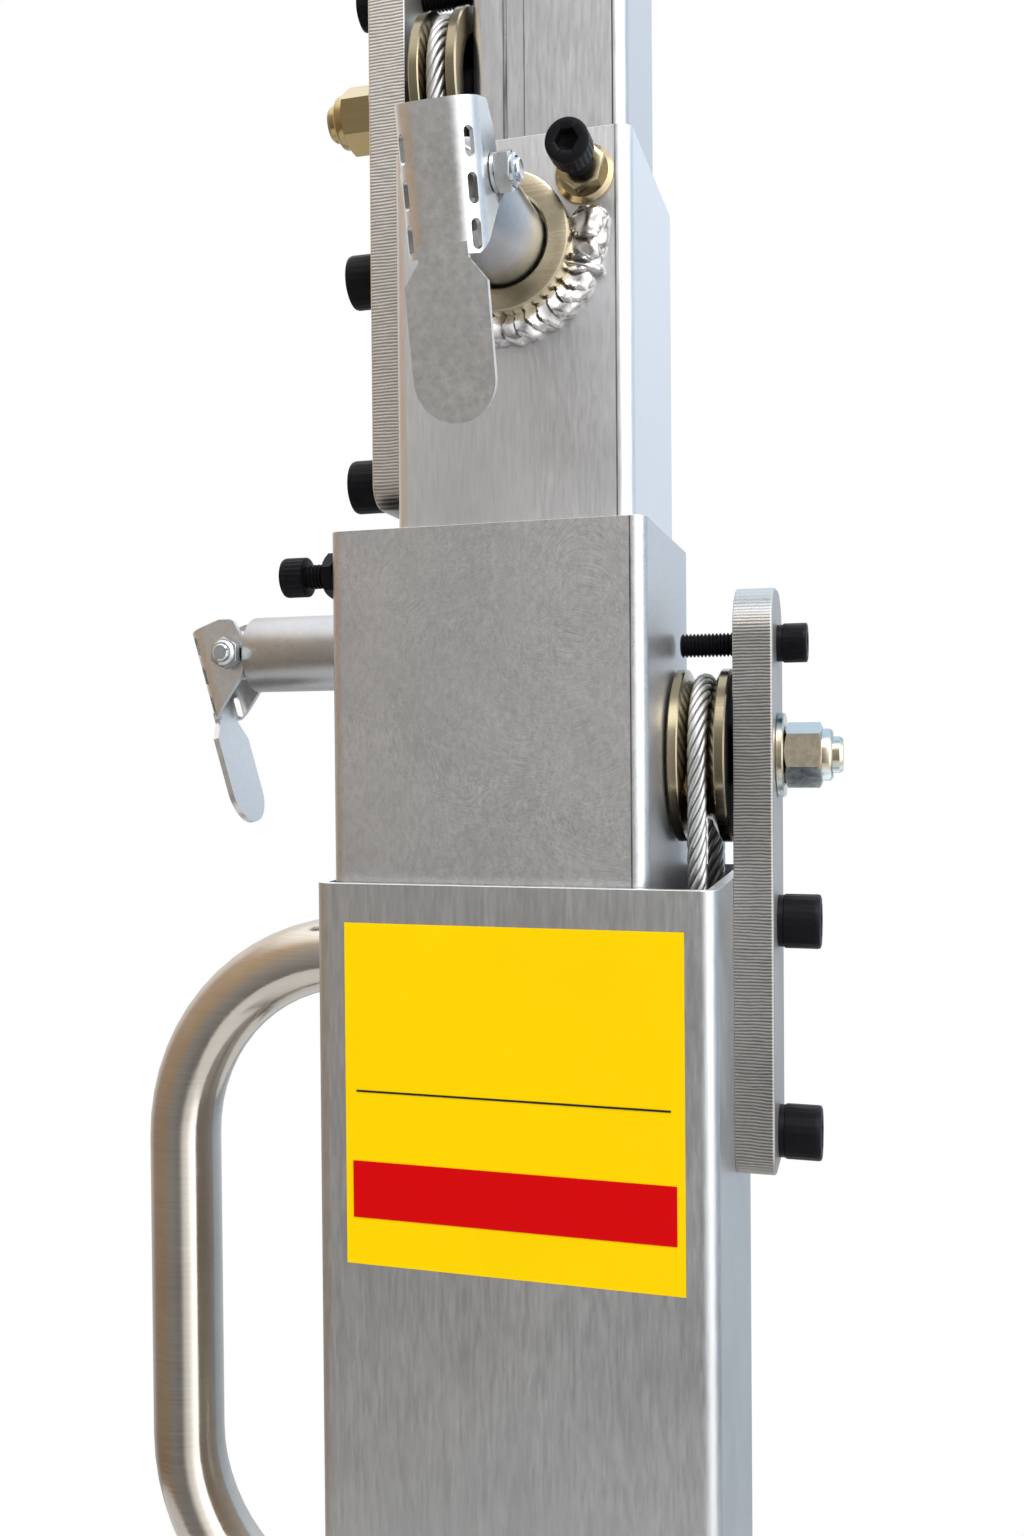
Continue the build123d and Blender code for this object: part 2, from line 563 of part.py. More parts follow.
def make_lock_pin(number, head_side):
    """Lock pin that rides on the next tube's wall, with the cross bolt and nut that carry its lever.

    The outer end is a ball about the bolt's axis, so that the lever's web can swing round it.
    """
    plane = LOCKS[number]
    tip = PIN_GAP - LOCK_DEPTHS[number]
    bolt = plane.offset(BOLT_REACH)
    cheek = LEVER_WIDTH / 2 + FACE_GAP
    head = Plane(origin=bolt.origin + bolt.x_dir * head_side * cheek, z_dir=bolt.x_dir * head_side)
    nut = Plane(origin=bolt.origin - bolt.x_dir * head_side * cheek, x_dir=UP, z_dir=bolt.x_dir * -head_side)
    with BuildPart() as pin:
        with Locations(plane.offset(tip)):
            Cylinder(PIN_RADIUS, BOLT_REACH - tip, align=STANDING)
        ends = pin.edges().filter_by(GeomType.CIRCLE).sort_by(Axis(plane.origin, plane.z_dir))
        chamfer(ends[0], PIN_CHAMFER)
        with Locations(bolt):
            Sphere(PIN_RADIUS)
        with Locations(head):
            Cylinder(BOLT_RADIUS + HOLE_PLAY, 4 * cheek, mode=Mode.SUBTRACT)
        with Locations(head):
            Cylinder(BOLT_HEAD.radius, BOLT_HEAD.thick, align=STANDING)
            Cylinder(BOLT_RADIUS, 2 * cheek + BOLT_PAST_LEVER, align=HANGING)
        with BuildSketch(nut):
            RegularPolygon(BOLT_NUT.radius, 6)
            Circle(BOLT_RADIUS + HOLE_PLAY, mode=Mode.SUBTRACT)
        extrude(amount=BOLT_NUT.thick)
    save(pin, f"lock_{number}_pin")


def make_lock_lever(number):
    """Folded sheet lever: a slotted channel astride the pin, with a flat paddle below its neck."""
    plane = LOCKS[number]
    top = LEVER_TOPS[number]
    drop = PADDLE_DROPS[number]
    hang = math.radians(LEVER_HANG)
    cross = plane.x_dir
    pivot = plane.origin + plane.z_dir * BOLT_REACH
    out = plane.z_dir * math.cos(hang) - UP * math.sin(hang)
    rise = plane.z_dir * math.sin(hang) + UP * math.cos(hang)
    channel_foot = Plane(origin=pivot + rise * LEVER_NECK, x_dir=cross, z_dir=rise)
    side = Plane(origin=pivot + cross * LEVER_WIDTH, x_dir=out, z_dir=cross * -1)
    face = Plane(origin=pivot + out * (LEVER_WEB - LEVER_SHEET), x_dir=cross, z_dir=out)
    inner_width = LEVER_WIDTH - 2 * LEVER_SHEET
    from_web = (Align.CENTER, Align.MIN)
    shoulder = LEVER_NECK - 7
    with BuildPart() as lever:
        with BuildSketch(channel_foot) as folded:
            with Locations((0, -LEVER_WEB)):
                Rectangle(LEVER_WIDTH, 2 * LEVER_WEB, align=from_web)
            fillet(folded.vertices().group_by(Axis.Y)[0], LEVER_FOLD)
        extrude(amount=top + 1 - LEVER_NECK)
        with BuildSketch(channel_foot) as hollow:
            with Locations((0, LEVER_SHEET - LEVER_WEB)):
                Rectangle(inner_width, 2 * LEVER_WEB, align=from_web)
            fillet(hollow.vertices().group_by(Axis.Y)[0], LEVER_FOLD - LEVER_SHEET)
        extrude(amount=top + 1 - LEVER_NECK, mode=Mode.SUBTRACT)
        with BuildSketch(side) as cheek:
            with BuildLine():
                Polyline((LEVER_WEB, top), (1, top + 1), *LEVER_CAM,
                         (LEVER_WEB - 1.2 * LEVER_SHEET, LEVER_NECK), (LEVER_WEB, LEVER_NECK), close=True)
            make_face()
            fillet([v for v in cheek.vertices() if v.X < LEVER_SHEET], LEVER_CORNER)
        extrude(amount=2 * LEVER_WIDTH, mode=Mode.INTERSECT)
        with BuildSketch(face):
            with BuildLine():
                Polyline((0, LEVER_NECK + 3), (LEVER_NECK_HALF, LEVER_NECK + 3),
                         (LEVER_NECK_HALF, LEVER_NECK - 1), (PADDLE_RADIUS, shoulder),
                         (PADDLE_RADIUS, -drop), (0, -drop), close=True)
            make_face()
            mirror(about=Plane.YZ)
            with Locations((0, -drop)):
                Circle(PADDLE_RADIUS)
        extrude(amount=LEVER_SHEET)
        slots_up = [LEVER_NECK + LEVER_SLOT_RISE + row * LEVER_SLOT_STEP for row in range(LEVER_SLOTS)]
        for hand in (-1, 1):
            bend = (out + cross * hand).normalized()
            fold = pivot + out * (LEVER_WEB - LEVER_FOLD) + cross * hand * (LEVER_WIDTH / 2 - LEVER_FOLD)
            with BuildSketch(Plane(origin=fold + bend * LEVER_FOLD, x_dir=rise, z_dir=bend)):
                with Locations(*[(up, 0) for up in slots_up]):
                    SlotOverall(*LEVER_SLOT)
            extrude(amount=2 * LEVER_SHEET, both=True, mode=Mode.SUBTRACT)
        with Locations(Plane(origin=pivot, z_dir=cross)):
            Cylinder(BOLT_RADIUS + SLIDING, 2 * LEVER_WIDTH, mode=Mode.SUBTRACT)
    save(lever, f"lock_{number}_lever")


def make_adjuster(number):
    """M8 cap screw with a flange nut that takes up play between a tube and the next one."""
    plane = ADJUSTERS[number]
    reach = ADJUST_REACHES[number]
    tip = ADJUST_GAP - LOCK_DEPTHS[number]
    bore = M8.shank + 1.5 * HOLE_PLAY
    with BuildPart() as screw:
        with Locations(plane.offset(tip)):
            Cylinder(M8.shank, reach - tip, align=STANDING)
        with Locations(plane.offset(reach)):
            Cylinder(M8.head, M8.height, align=HANGING)
        with BuildSketch(plane.offset(reach)):
            RegularPolygon(M8.socket, 6)
        extrude(amount=-M8.height / 2, mode=Mode.SUBTRACT)
        with BuildSketch(plane):
            Circle(ADJUST_FLANGE.radius)
            Circle(bore, mode=Mode.SUBTRACT)
        extrude(amount=ADJUST_FLANGE.thick)
        with BuildSketch(plane):
            RegularPolygon(ADJUST_NUT.radius, 6)
            Circle(bore, mode=Mode.SUBTRACT)
        extrude(amount=ADJUST_NUT.thick)
    save(screw, f"adjuster_{number}")


def make_locks():
    """The three spring pin locks and adjusting screws."""
    for number, head_side in ((1, 1), (2, -1), (3, -1)):
        make_lock_housing(number)
        make_lock_pin(number, head_side)
        make_lock_lever(number)
        make_adjuster(number)


def make_boxes(name, boxes):
    """Separate rectangular blocks, each given by its low and high corners."""
    with BuildPart() as blocks:
        for low, high in boxes:
            with Locations(tuple((a + b) / 2 for a, b in zip(low, high))):
                Box(*[b - a for a, b in zip(low, high)])
    save(blocks, name)


def face_pads(tube, low_x, high_x):
    """Thin pads on the front and back of a tube's foot."""
    low_z = tube.bottom + PAD_FOOT
    high_z = low_z + PAD_LENGTH
    return [((low_x, tube.front - PAD_THICK, low_z), (high_x, tube.front, high_z)),
            ((low_x, tube.back, low_z), (high_x, tube.back + PAD_THICK, high_z))]


def make_pads_and_anchor():
    """Nylon slide pads on the feet of the moving tubes, and the rope's end block on the top tube."""
    side_low = MAST_2.bottom + PAD_FOOT
    side_pad = ((MAST_2.right, 5, side_low), (MAST_1.right - WALL - 0.5, 30, side_low + SIDE_PAD_LENGTH))
    make_boxes("guide_pads_2", face_pads(MAST_2, -40, 25) + [side_pad])
    make_boxes("guide_pads_3", face_pads(MAST_3, -20, 25))
    inner_front = MAST_3.front + WALL + PAD_GAP
    inner_back = MAST_3.back - WALL - PAD_GAP
    foot = MAST_4.bottom
    pad_top = foot + TOP_PAD_LENGTH
    make_boxes("guide_pads_4", [((5, inner_front, foot), (30, MAST_4.front, pad_top)),
                                ((-10, MAST_4.back, foot), (28, inner_back, pad_top))])
    anchor_y = HEAD_3_Y + TOP_PITCH
    make_boxes("rope_anchor", [((ROPE_X_3 - ANCHOR_PAST_ROPE, anchor_y - ANCHOR_HALF_DEPTH, foot),
                                (MAST_4.left, anchor_y + ANCHOR_HALF_DEPTH, foot + ANCHOR_HEIGHT))])


def make_top_plate():
    """Load plate on the top tube, with four holes for a bracket or truss adapter."""
    width, depth, thick = LOAD_PLATE
    with BuildPart() as plate:
        with BuildSketch(Plane.XY.offset(MAST_4.top)):
            with Locations(((MAST_4.left + MAST_4.right) / 2, (MAST_4.front + MAST_4.back) / 2)):
                RectangleRounded(width, depth, LOAD_PLATE_CORNER)
                with GridLocations(*LOAD_HOLE_GRID, 2, 2):
                    Circle(LOAD_HOLE_RADIUS, mode=Mode.SUBTRACT)
        extrude(amount=thick)
    save(plate, "top_plate")


def make_handle():
    """Bent tube handle welded to the left face of the outer tube."""
    face = MAST_1.left
    grip = face - HANDLE_STAND
    bend_x = grip + HANDLE_BEND
    low_z = HANDLE_TOP_Z - 2 * HANDLE_BEND - HANDLE_STRAIGHT
    lean = HANDLE_BEND * math.sqrt(0.5)
    with BuildPart() as handle:
        with BuildLine() as path:
            Line((face, HANDLE_Y, HANDLE_TOP_Z), (bend_x, HANDLE_Y, HANDLE_TOP_Z))
            ThreePointArc((bend_x, HANDLE_Y, HANDLE_TOP_Z),
                          (bend_x - lean, HANDLE_Y, HANDLE_TOP_Z - HANDLE_BEND + lean),
                          (grip, HANDLE_Y, HANDLE_TOP_Z - HANDLE_BEND))
            Line((grip, HANDLE_Y, HANDLE_TOP_Z - HANDLE_BEND), (grip, HANDLE_Y, low_z + HANDLE_BEND))
            ThreePointArc((grip, HANDLE_Y, low_z + HANDLE_BEND),
                          (bend_x - lean, HANDLE_Y, low_z + HANDLE_BEND - lean), (bend_x, HANDLE_Y, low_z))
            Line((bend_x, HANDLE_Y, low_z), (face, HANDLE_Y, low_z))
        with BuildSketch(Plane(origin=(face, HANDLE_Y, HANDLE_TOP_Z), z_dir=(-1, 0, 0))):
            Circle(HANDLE_RADIUS)
            Circle(HANDLE_RADIUS - HANDLE_WALL, mode=Mode.SUBTRACT)
        sweep(path=path.wire())
    save(handle, "carry_handle")


def leg_frame(angle):
    """Outward and sideways directions of a leg, and how far out the base's sleeve reaches there."""
    out = Vector(round(math.cos(math.radians(angle))), round(math.sin(math.radians(angle))), 0)
    side = UP.cross(out)
    reach = (MAST_1.right if out.X else MAST_1.back) + FACE_GAP + SLEEVE_WALL
    return out, side, reach


def make_base():
    """Welded steel base: floor plate, sleeve round the mast, leg sockets, gussets and wheel stubs."""
    sleeve = [2 * (half + FACE_GAP) for half in (MAST_1.right, MAST_1.back)]
    gusset_foot = LEG_Z + SOCKET_SIZE / 2
    at_x, at_y, at_z = WHEEL_AT
    block_length = at_x - WHEEL_WIDTH / 2 - WHEEL_GAP - SOCKET_SIZE / 2
    stub_length = block_length + WHEEL_WIDTH + 2 * WHEEL_GAP
    with BuildPart() as base:
        with BuildSketch(Plane.XY.offset(MAST_1.bottom - BASE_PLATE[2])):
            RectangleRounded(BASE_PLATE[0], BASE_PLATE[1], BASE_PLATE_CORNER)
        extrude(amount=BASE_PLATE[2])
        with BuildSketch(Plane.XY.offset(MAST_1.bottom)):
            RectangleRounded(sleeve[0] + 2 * SLEEVE_WALL, sleeve[1] + 2 * SLEEVE_WALL, SLEEVE_CORNER)
            RectangleRounded(*sleeve, SLEEVE_CORNER / 2, mode=Mode.SUBTRACT)
        extrude(amount=SLEEVE_TOP - MAST_1.bottom)
        for angle in LEGS.values():
            out, side, reach = leg_frame(angle)
            start = reach - WELD_LAP
            with BuildSketch(Plane(origin=out * start + UP * LEG_Z, x_dir=side, z_dir=out)):
                Rectangle(SOCKET_SIZE, SOCKET_SIZE)
                Rectangle(SOCKET_SIZE - 2 * SOCKET_WALL, SOCKET_SIZE - 2 * SOCKET_WALL, mode=Mode.SUBTRACT)
            extrude(amount=SOCKET_LENGTH + WELD_LAP)
            with BuildSketch(Plane(origin=side * GUSSET_THICK * 0.5, x_dir=out, z_dir=side * -1)):
                with BuildLine():
                    Polyline((start, gusset_foot), (reach + GUSSET_REACH, gusset_foot),
                             (start, SLEEVE_TOP - GUSSET_THICK), close=True)
                make_face()
            extrude(amount=GUSSET_THICK)
            knob_at = out * (reach + SOCKET_LENGTH - KNOB_FROM_END) + UP * gusset_foot
            with Locations(Location(knob_at)):
                Cylinder(KNOB_STUD.radius + HOLE_PLAY, 4 * SOCKET_WALL, mode=Mode.SUBTRACT)
        for hand in (-1, 1):
            mount = Plane(origin=(hand * SOCKET_SIZE / 2, at_y, at_z), x_dir=(0, 1, 0), z_dir=(hand, 0, 0))
            with BuildSketch(mount):
                RectangleRounded(WHEEL_BLOCK, WHEEL_BLOCK, WHEEL_BLOCK_CORNER)
            extrude(amount=block_length)
            with Locations(mount):
                Cylinder(STUB_RADIUS, stub_length + STUB_HEAD.thick, align=STANDING)
            with Locations(mount.offset(stub_length)):
                Cylinder(STUB_HEAD.radius, STUB_HEAD.thick, align=STANDING)
    save(base, "base_frame")


def make_legs():
    """Four square legs with a jack nut at the far end, and their screw jacks."""
    for name, angle in LEGS.items():
        out, side, reach = leg_frame(angle)
        start = reach + LEG_START
        jack_at = out * (start + LEG_LENGTH + JACK_NUT.radius - JACK_NUT_LAP)
        with BuildPart() as leg:
            with BuildSketch(Plane(origin=out * start + UP * LEG_Z, x_dir=side, z_dir=out)):
                Rectangle(LEG_SIZE, LEG_SIZE)
                Rectangle(LEG_SIZE - 2 * LEG_WALL, LEG_SIZE - 2 * LEG_WALL, mode=Mode.SUBTRACT)
            extrude(amount=LEG_LENGTH)
            with Locations(Location(jack_at + UP * JACK_NUT_Z)):
                Cylinder(JACK_NUT.radius, JACK_NUT.thick, align=STANDING)
                Cylinder(JACK_SCREW.radius + SLIDING, 2 * JACK_NUT.thick, mode=Mode.SUBTRACT, align=STANDING)
        save(leg, f"leg_{name}")
        with BuildPart() as jack:
            with Locations(Location(jack_at)):
                Cylinder(JACK_FOOT.radius, JACK_FOOT.thick, align=STANDING)
                Cone(JACK_CONE.radius, JACK_NECK_RADIUS, JACK_CONE.thick, align=STANDING)
                Cylinder(JACK_NECK_RADIUS, JACK_NUT_Z - FACE_GAP, align=STANDING)
                Cylinder(JACK_SCREW.radius, JACK_SCREW.thick, align=STANDING)
            with Locations(Plane(origin=jack_at + UP * JACK_BAR_Z, z_dir=side)):
                Cylinder(JACK_BAR.radius, JACK_BAR.thick)
        save(jack, f"jack_{name}")


def make_knobs():
    """Lobed knobs whose studs clamp the legs in their sockets."""
    foot_z = LEG_Z + LEG_SIZE / 2 + FACE_GAP
    with BuildPart() as knobs:
        for angle in LEGS.values():
            out, _, reach = leg_frame(angle)
            foot = out * (reach + SOCKET_LENGTH - KNOB_FROM_END) + UP * foot_z
            with Locations(Location(foot)):
                Cylinder(KNOB_STUD.radius, KNOB_STUD.thick, align=STANDING)
            with BuildSketch(Plane(origin=foot + UP * (KNOB_STUD.thick - 2))):
                Circle(KNOB_HEAD.radius)
                with PolarLocations(KNOB_HEAD.radius - 1, KNOB_LOBES):
                    Circle(KNOB_LOBE_RADIUS)
            extrude(amount=KNOB_HEAD.thick)
    save(knobs, "leg_knobs")


def make_wheels():
    """Two transport wheels behind the mast, clear of the floor, on stub axles from the back socket."""
    at_x, at_y, at_z = WHEEL_AT
    half = WHEEL_WIDTH / 2
    bore = STUB_RADIUS + RUNNING
    side_drop, tread_drop = WHEEL_SHOULDER
    slope, dish = WHEEL_DISH
    for name, hand in (("wheel_left", -1), ("wheel_right", 1)):
        with BuildPart() as wheel:
            with BuildSketch(Plane(origin=(hand * at_x, at_y, at_z), x_dir=(0, 0, 1), z_dir=(0, 1, 0))):
                with BuildLine():
                    Polyline((WHEEL_RADIUS, 0), (WHEEL_RADIUS, half - tread_drop),
                             (WHEEL_RADIUS - side_drop, half), (WHEEL_TYRE, half),
                             (WHEEL_TYRE - slope, half - dish), (WHEEL_HUB + slope, half - dish),
                             (WHEEL_HUB, half), (bore, half), (bore, 0), close=True)
                make_face()
                mirror(about=Plane.XZ)
            revolve(axis=Axis((hand * at_x, at_y, at_z), (1, 0, 0)))
        save(wheel, name)


LEFT_CHEEK = DRUM_LEFT - DRUM_FLANGE.thick - CHEEK_GAP - CHEEK_THICK
RIGHT_CHEEK = DRUM_RIGHT + DRUM_FLANGE.thick + CHEEK_GAP
SHAFT_END = RIGHT_CHEEK + CHEEK_THICK + SHAFT_PAST_CHEEK
GEAR_RIGHT = LEFT_CHEEK - GEAR_GAP
GEAR_LEFT = GEAR_RIGHT - GEAR.thick
CRANK_LEFT = LEFT_CHEEK - CRANK_STAND
CRANK_PIN_Z = PINION_Z - CRANK_LENGTH


def make_winch_frame():
    """Bent winch frame: a back plate on the tube and two cheeks with the shafts' bearings."""
    width = RIGHT_CHEEK + CHEEK_THICK - LEFT_CHEEK
    cheek_height = PINION_Z + CHEEK_ABOVE_PINION - FRAME_LOW_Z
    with BuildPart() as frame:
        with BuildSketch(wall_plane(LEFT_CHEEK + width / 2, MAST_1.back, FRAME_LOW_Z, (0, 1, 0))):
            Rectangle(width, FRAME_HIGH_Z - FRAME_LOW_Z, align=(Align.CENTER, Align.MIN))
        extrude(amount=CHEEK_THICK)
        for x in (LEFT_CHEEK, RIGHT_CHEEK):
            with BuildSketch(across_plane(x, MAST_1.back, 0)) as cheek:
                with Locations((0, FRAME_LOW_Z)):
                    Rectangle(CHEEK_DEPTH, cheek_height, align=(Align.MIN, Align.MIN))
                fillet(cheek.vertices().group_by(Axis.X)[-1], CHEEK_CORNER)
                with Locations((DRUM_Y - MAST_1.back, DRUM_Z), (DRUM_Y - MAST_1.back, PINION_Z)):
                    Circle(SHAFT_RADIUS + RUNNING, mode=Mode.SUBTRACT)
            extrude(amount=CHEEK_THICK)
    save(frame, "winch_frame")


def add_shaft_steps(steps, z):
    """Cylinders (start, stop, radius) along X at the winch's depth, in the part being built."""
    for start, stop, radius in steps:
        with Locations(across_plane(start, DRUM_Y, z)):
            Cylinder(radius, stop - start, align=STANDING)


def make_winch_turning_parts():
    """Drum with its gear, crank with its pinion and pin, and the grip that turns on the pin."""
    with BuildPart() as drum:
        add_shaft_steps([(DRUM_LEFT - DRUM_FLANGE.thick, DRUM_LEFT, DRUM_FLANGE.radius),
                         (DRUM_LEFT, DRUM_RIGHT, DRUM_RADIUS),
                         (DRUM_RIGHT, DRUM_RIGHT + DRUM_FLANGE.thick, DRUM_FLANGE.radius),
                         (GEAR_LEFT, GEAR_RIGHT, GEAR.radius), (GEAR_LEFT, SHAFT_END, SHAFT_RADIUS)], DRUM_Z)
    save(drum, "winch_drum")

    grip_end = CRANK_LEFT - GRIP_START - GRIP_LENGTH
    with BuildPart() as crank:
        add_shaft_steps([(CRANK_LEFT, SHAFT_END, SHAFT_RADIUS),
                         (GEAR_LEFT, GEAR_RIGHT, PINION_RADIUS)], PINION_Z)
        with BuildSketch(across_plane(CRANK_LEFT, DRUM_Y, PINION_Z)):
            with Locations((0, -CRANK_LENGTH / 2)):
                SlotCenterToCenter(CRANK_LENGTH, CRANK_WIDTH, rotation=90)
        extrude(amount=CRANK_THICK)
        pin_head = grip_end - CHEEK_GAP
        add_shaft_steps([(CRANK_LEFT - CRANK_PIN.thick, CRANK_LEFT, CRANK_PIN.radius),
                         (pin_head - CRANK_PIN_HEAD.thick, pin_head, CRANK_PIN_HEAD.radius)], CRANK_PIN_Z)
    save(crank, "winch_crank")

    bore = CRANK_PIN.radius + RUNNING
    with BuildPart() as grip:
        with BuildSketch(Plane(origin=(CRANK_LEFT - GRIP_START, DRUM_Y, CRANK_PIN_Z), x_dir=(0, 0, 1),
                               z_dir=(0, 1, 0))):
            with BuildLine():
                Polyline((bore, 0), (GRIP_END_RADIUS, 0), (GRIP_RADIUS, -GRIP_TAPERS[0]),
                         (GRIP_RADIUS, -GRIP_TAPERS[1]), (GRIP_END_RADIUS, -GRIP_LENGTH),
                         (bore, -GRIP_LENGTH), close=True)
            make_face()
        revolve(axis=Axis((CRANK_LEFT, DRUM_Y, CRANK_PIN_Z), (1, 0, 0)))
    save(grip, "winch_grip")


def make_winch_fittings():
    """Pressed cover over the gears, and the nylon roll that guides the rope out of the tube."""
    with BuildPart() as cover:
        for (margin, depth), mode in ((COVER_OUTER, Mode.ADD), (COVER_INNER, Mode.SUBTRACT)):
            with BuildSketch(across_plane(LEFT_CHEEK, DRUM_Y, DRUM_Z)):
                Circle(GEAR.radius + margin)
                with Locations((0, PINION_Z - DRUM_Z)):
                    Circle(PINION_RADIUS + margin)
                make_hull()
            extrude(amount=-depth, mode=mode)
        with Locations(across_plane(LEFT_CHEEK, DRUM_Y, PINION_Z)):
            Cylinder(SHAFT_RADIUS + CHEEK_GAP, 4 * CRANK_THICK, mode=Mode.SUBTRACT)
    save(cover, "winch_cover")

    with BuildPart() as guide:
        with Locations(across_plane(ROPE_X_1 - GUIDE_ROLL_WIDTH / 2, LEAD_Y + GUIDE_ROLL, GUIDE_Z)):
            Cylinder(GUIDE_ROLL - ROPE_RADIUS - FACE_GAP, GUIDE_ROLL_WIDTH, align=STANDING)
        with Locations((ROPE_X_1 - 1, MAST_1.back + GUIDE_BLOCK[1] / 2, GUIDE_Z + GUIDE_BLOCK_RISE)):
            Box(*GUIDE_BLOCK)
    save(guide, "rope_guide")


def arc_middle(start, heading, end):
    """Middle point of the arc that leaves start along heading and ends at end."""
    chord = end - start
    across = heading - chord * (heading.dot(chord) / chord.dot(chord))
    bulge = chord.length / 2 * math.tan(math.radians(heading.get_angle(chord)) / 2)
    return (start + end) * 0.5 + across.normalized() * bulge


def biarc(start, start_heading, end, end_heading):
    """Two tangent arcs from one point and heading to another, as (middle, end) steps."""
    span = end - start
    total = start_heading + end_heading
    a = 2 * (start_heading.dot(end_heading) - 1)
    b = -2 * span.dot(total)
    reach = (-b - math.sqrt(b * b - 4 * a * span.dot(span))) / (2 * a)
    joint = (start + start_heading * reach + end - end_heading * reach) * 0.5
    joint_heading = (end - end_heading * reach - start - start_heading * reach).normalized()
    return [(arc_middle(start, start_heading, joint), joint), (arc_middle(joint, joint_heading, end), end)]


def make_rope(name, start, heading, steps):
    """Round rope along lines (None, end) and arcs (middle, end); prints how true its volume is."""
    with BuildPart() as rope:
        with BuildLine() as path:
            at = start
            for middle, end in steps:
                if middle is None:
                    Line(at, end)
                else:
                    ThreePointArc(at, middle, end)
                at = end
        with BuildSketch(Plane(origin=start, z_dir=heading)):
            Circle(ROPE_RADIUS)
        sweep(path=path.wire())
    length = path.wire().length
    share = rope.part.volume / (math.pi * ROPE_RADIUS**2 * length)
    print(name, "length", round(length), "volume share", round(share, 4))
    save(rope, name)


def winding_steps(angle):
    """Steps of the rope's turns on the drum, which start on its mast side where the lead meets it."""
    def place(turned):
        turn = math.pi + angle + turned
        return Vector(ROPE_X_1 - WINDING_PITCH * turned / (2 * math.pi), DRUM_Y + DRUM_PITCH * math.cos(turn),
                      DRUM_Z + DRUM_PITCH * math.sin(turn))

    def heading(turned):
        turn = math.pi + angle + turned
        drift = WINDING_PITCH / (2 * math.pi) if turned else 0
        return Vector(-drift, -DRUM_PITCH * math.sin(turn), DRUM_PITCH * math.cos(turn)).normalized()

    quarters = [math.pi / 2 * k for k in range(4 * WINDING_TURNS + 1)]
    steps = []
    for a, b in zip(quarters, quarters[1:]):
        steps += biarc(place(a), heading(a), place(b), heading(b))
    points = [place(math.pi / 18 * k) for k in range(36 * WINDING_TURNS + 1)]
    apart = min((p - q).length for k, p in enumerate(points) for q in points[k + 18:])
    print("winding least gap", round(apart - 2 * ROPE_RADIUS, 2))
    return steps


def make_ropes():
    """One wire rope in stretches: those between two tubes shorten as the mast goes up."""
    top_1 = Vector(ROPE_X_1, HEAD_1_Y, HEAD_1_Z)
    over = UP * TOP_PITCH
    ahead = Vector(0, TOP_PITCH, 0)
    guide_y = LEAD_Y + GUIDE_ROLL
    slope = math.atan2(DRUM_Y - guide_y, GUIDE_Z - DRUM_Z)
    gap = math.hypot(DRUM_Y - guide_y, GUIDE_Z - DRUM_Z)
    bend = slope - math.asin((DRUM_PITCH - GUIDE_ROLL) / gap)

    def lean(angle, centre_y, centre_z, radius):
        return Vector(ROPE_X_1, centre_y - radius * math.cos(angle), centre_z - radius * math.sin(angle))

    make_rope("rope_lead", top_1 - ahead, UP, [
        (top_1 + over, top_1 + ahead), (None, Vector(ROPE_X_1, LEAD_Y, GUIDE_Z)),
        (lean(bend / 2, guide_y, GUIDE_Z, GUIDE_ROLL), lean(bend, guide_y, GUIDE_Z, GUIDE_ROLL)),
        (None, lean(bend, DRUM_Y, DRUM_Z, DRUM_PITCH))] + winding_steps(bend))
    foot_2 = Vector(FOOT_2_X, STRAND_1_Y, FOOT_2_Z)
    reach_2 = Vector(FOOT_2_PITCH, 0, 0)
    make_rope("rope_run_2", top_1 - ahead, UP * -1, [(None, foot_2 + reach_2)])
    top_2 = Vector(ROPE_X_2, SHEAVE_2_Y, SHEAVE_2_Z)
    ahead_2 = Vector(0, SHEAVE_2_PITCH, 0)
    make_rope("rope_loop_2", foot_2 + reach_2, UP * -1, [
        (foot_2 - UP * FOOT_2_PITCH, foot_2 - reach_2), (None, top_2 - ahead_2),
        (top_2 + UP * SHEAVE_2_PITCH, top_2 + ahead_2)])
    make_rope("rope_run_3", top_2 + ahead_2, UP * -1, [(None, FOOT_3_OUTER)])
    top_3 = Vector(ROPE_X_3, HEAD_3_Y, HEAD_3_Z)
    make_rope("rope_loop_3", FOOT_3_OUTER, UP * -1, [
        (FOOT_3_CENTRE - UP * FOOT_3_PITCH, FOOT_3_INNER), (None, top_3 - ahead),
        (top_3 + over, top_3 + ahead)])
    make_rope("rope_run_4", top_3 + ahead, UP * -1, [
        (None, Vector(ROPE_X_3, HEAD_3_Y + TOP_PITCH, MAST_4.bottom + ANCHOR_HEIGHT))])


os.makedirs("parts", exist_ok=True)
make_mast_tubes()
make_sheaves()
make_heads()
make_inner_axles()
make_locks()
make_pads_and_anchor()
make_top_plate()
make_handle()
make_base()
make_legs()
make_knobs()
make_wheels()
make_winch_frame()
make_winch_turning_parts()
make_winch_fittings()
make_ropes()
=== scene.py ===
import json
import logging
import math
from dataclasses import dataclass
from enum import Enum
from typing import Optional, Sequence

import bmesh
import bpy
from mathutils import Matrix, Vector


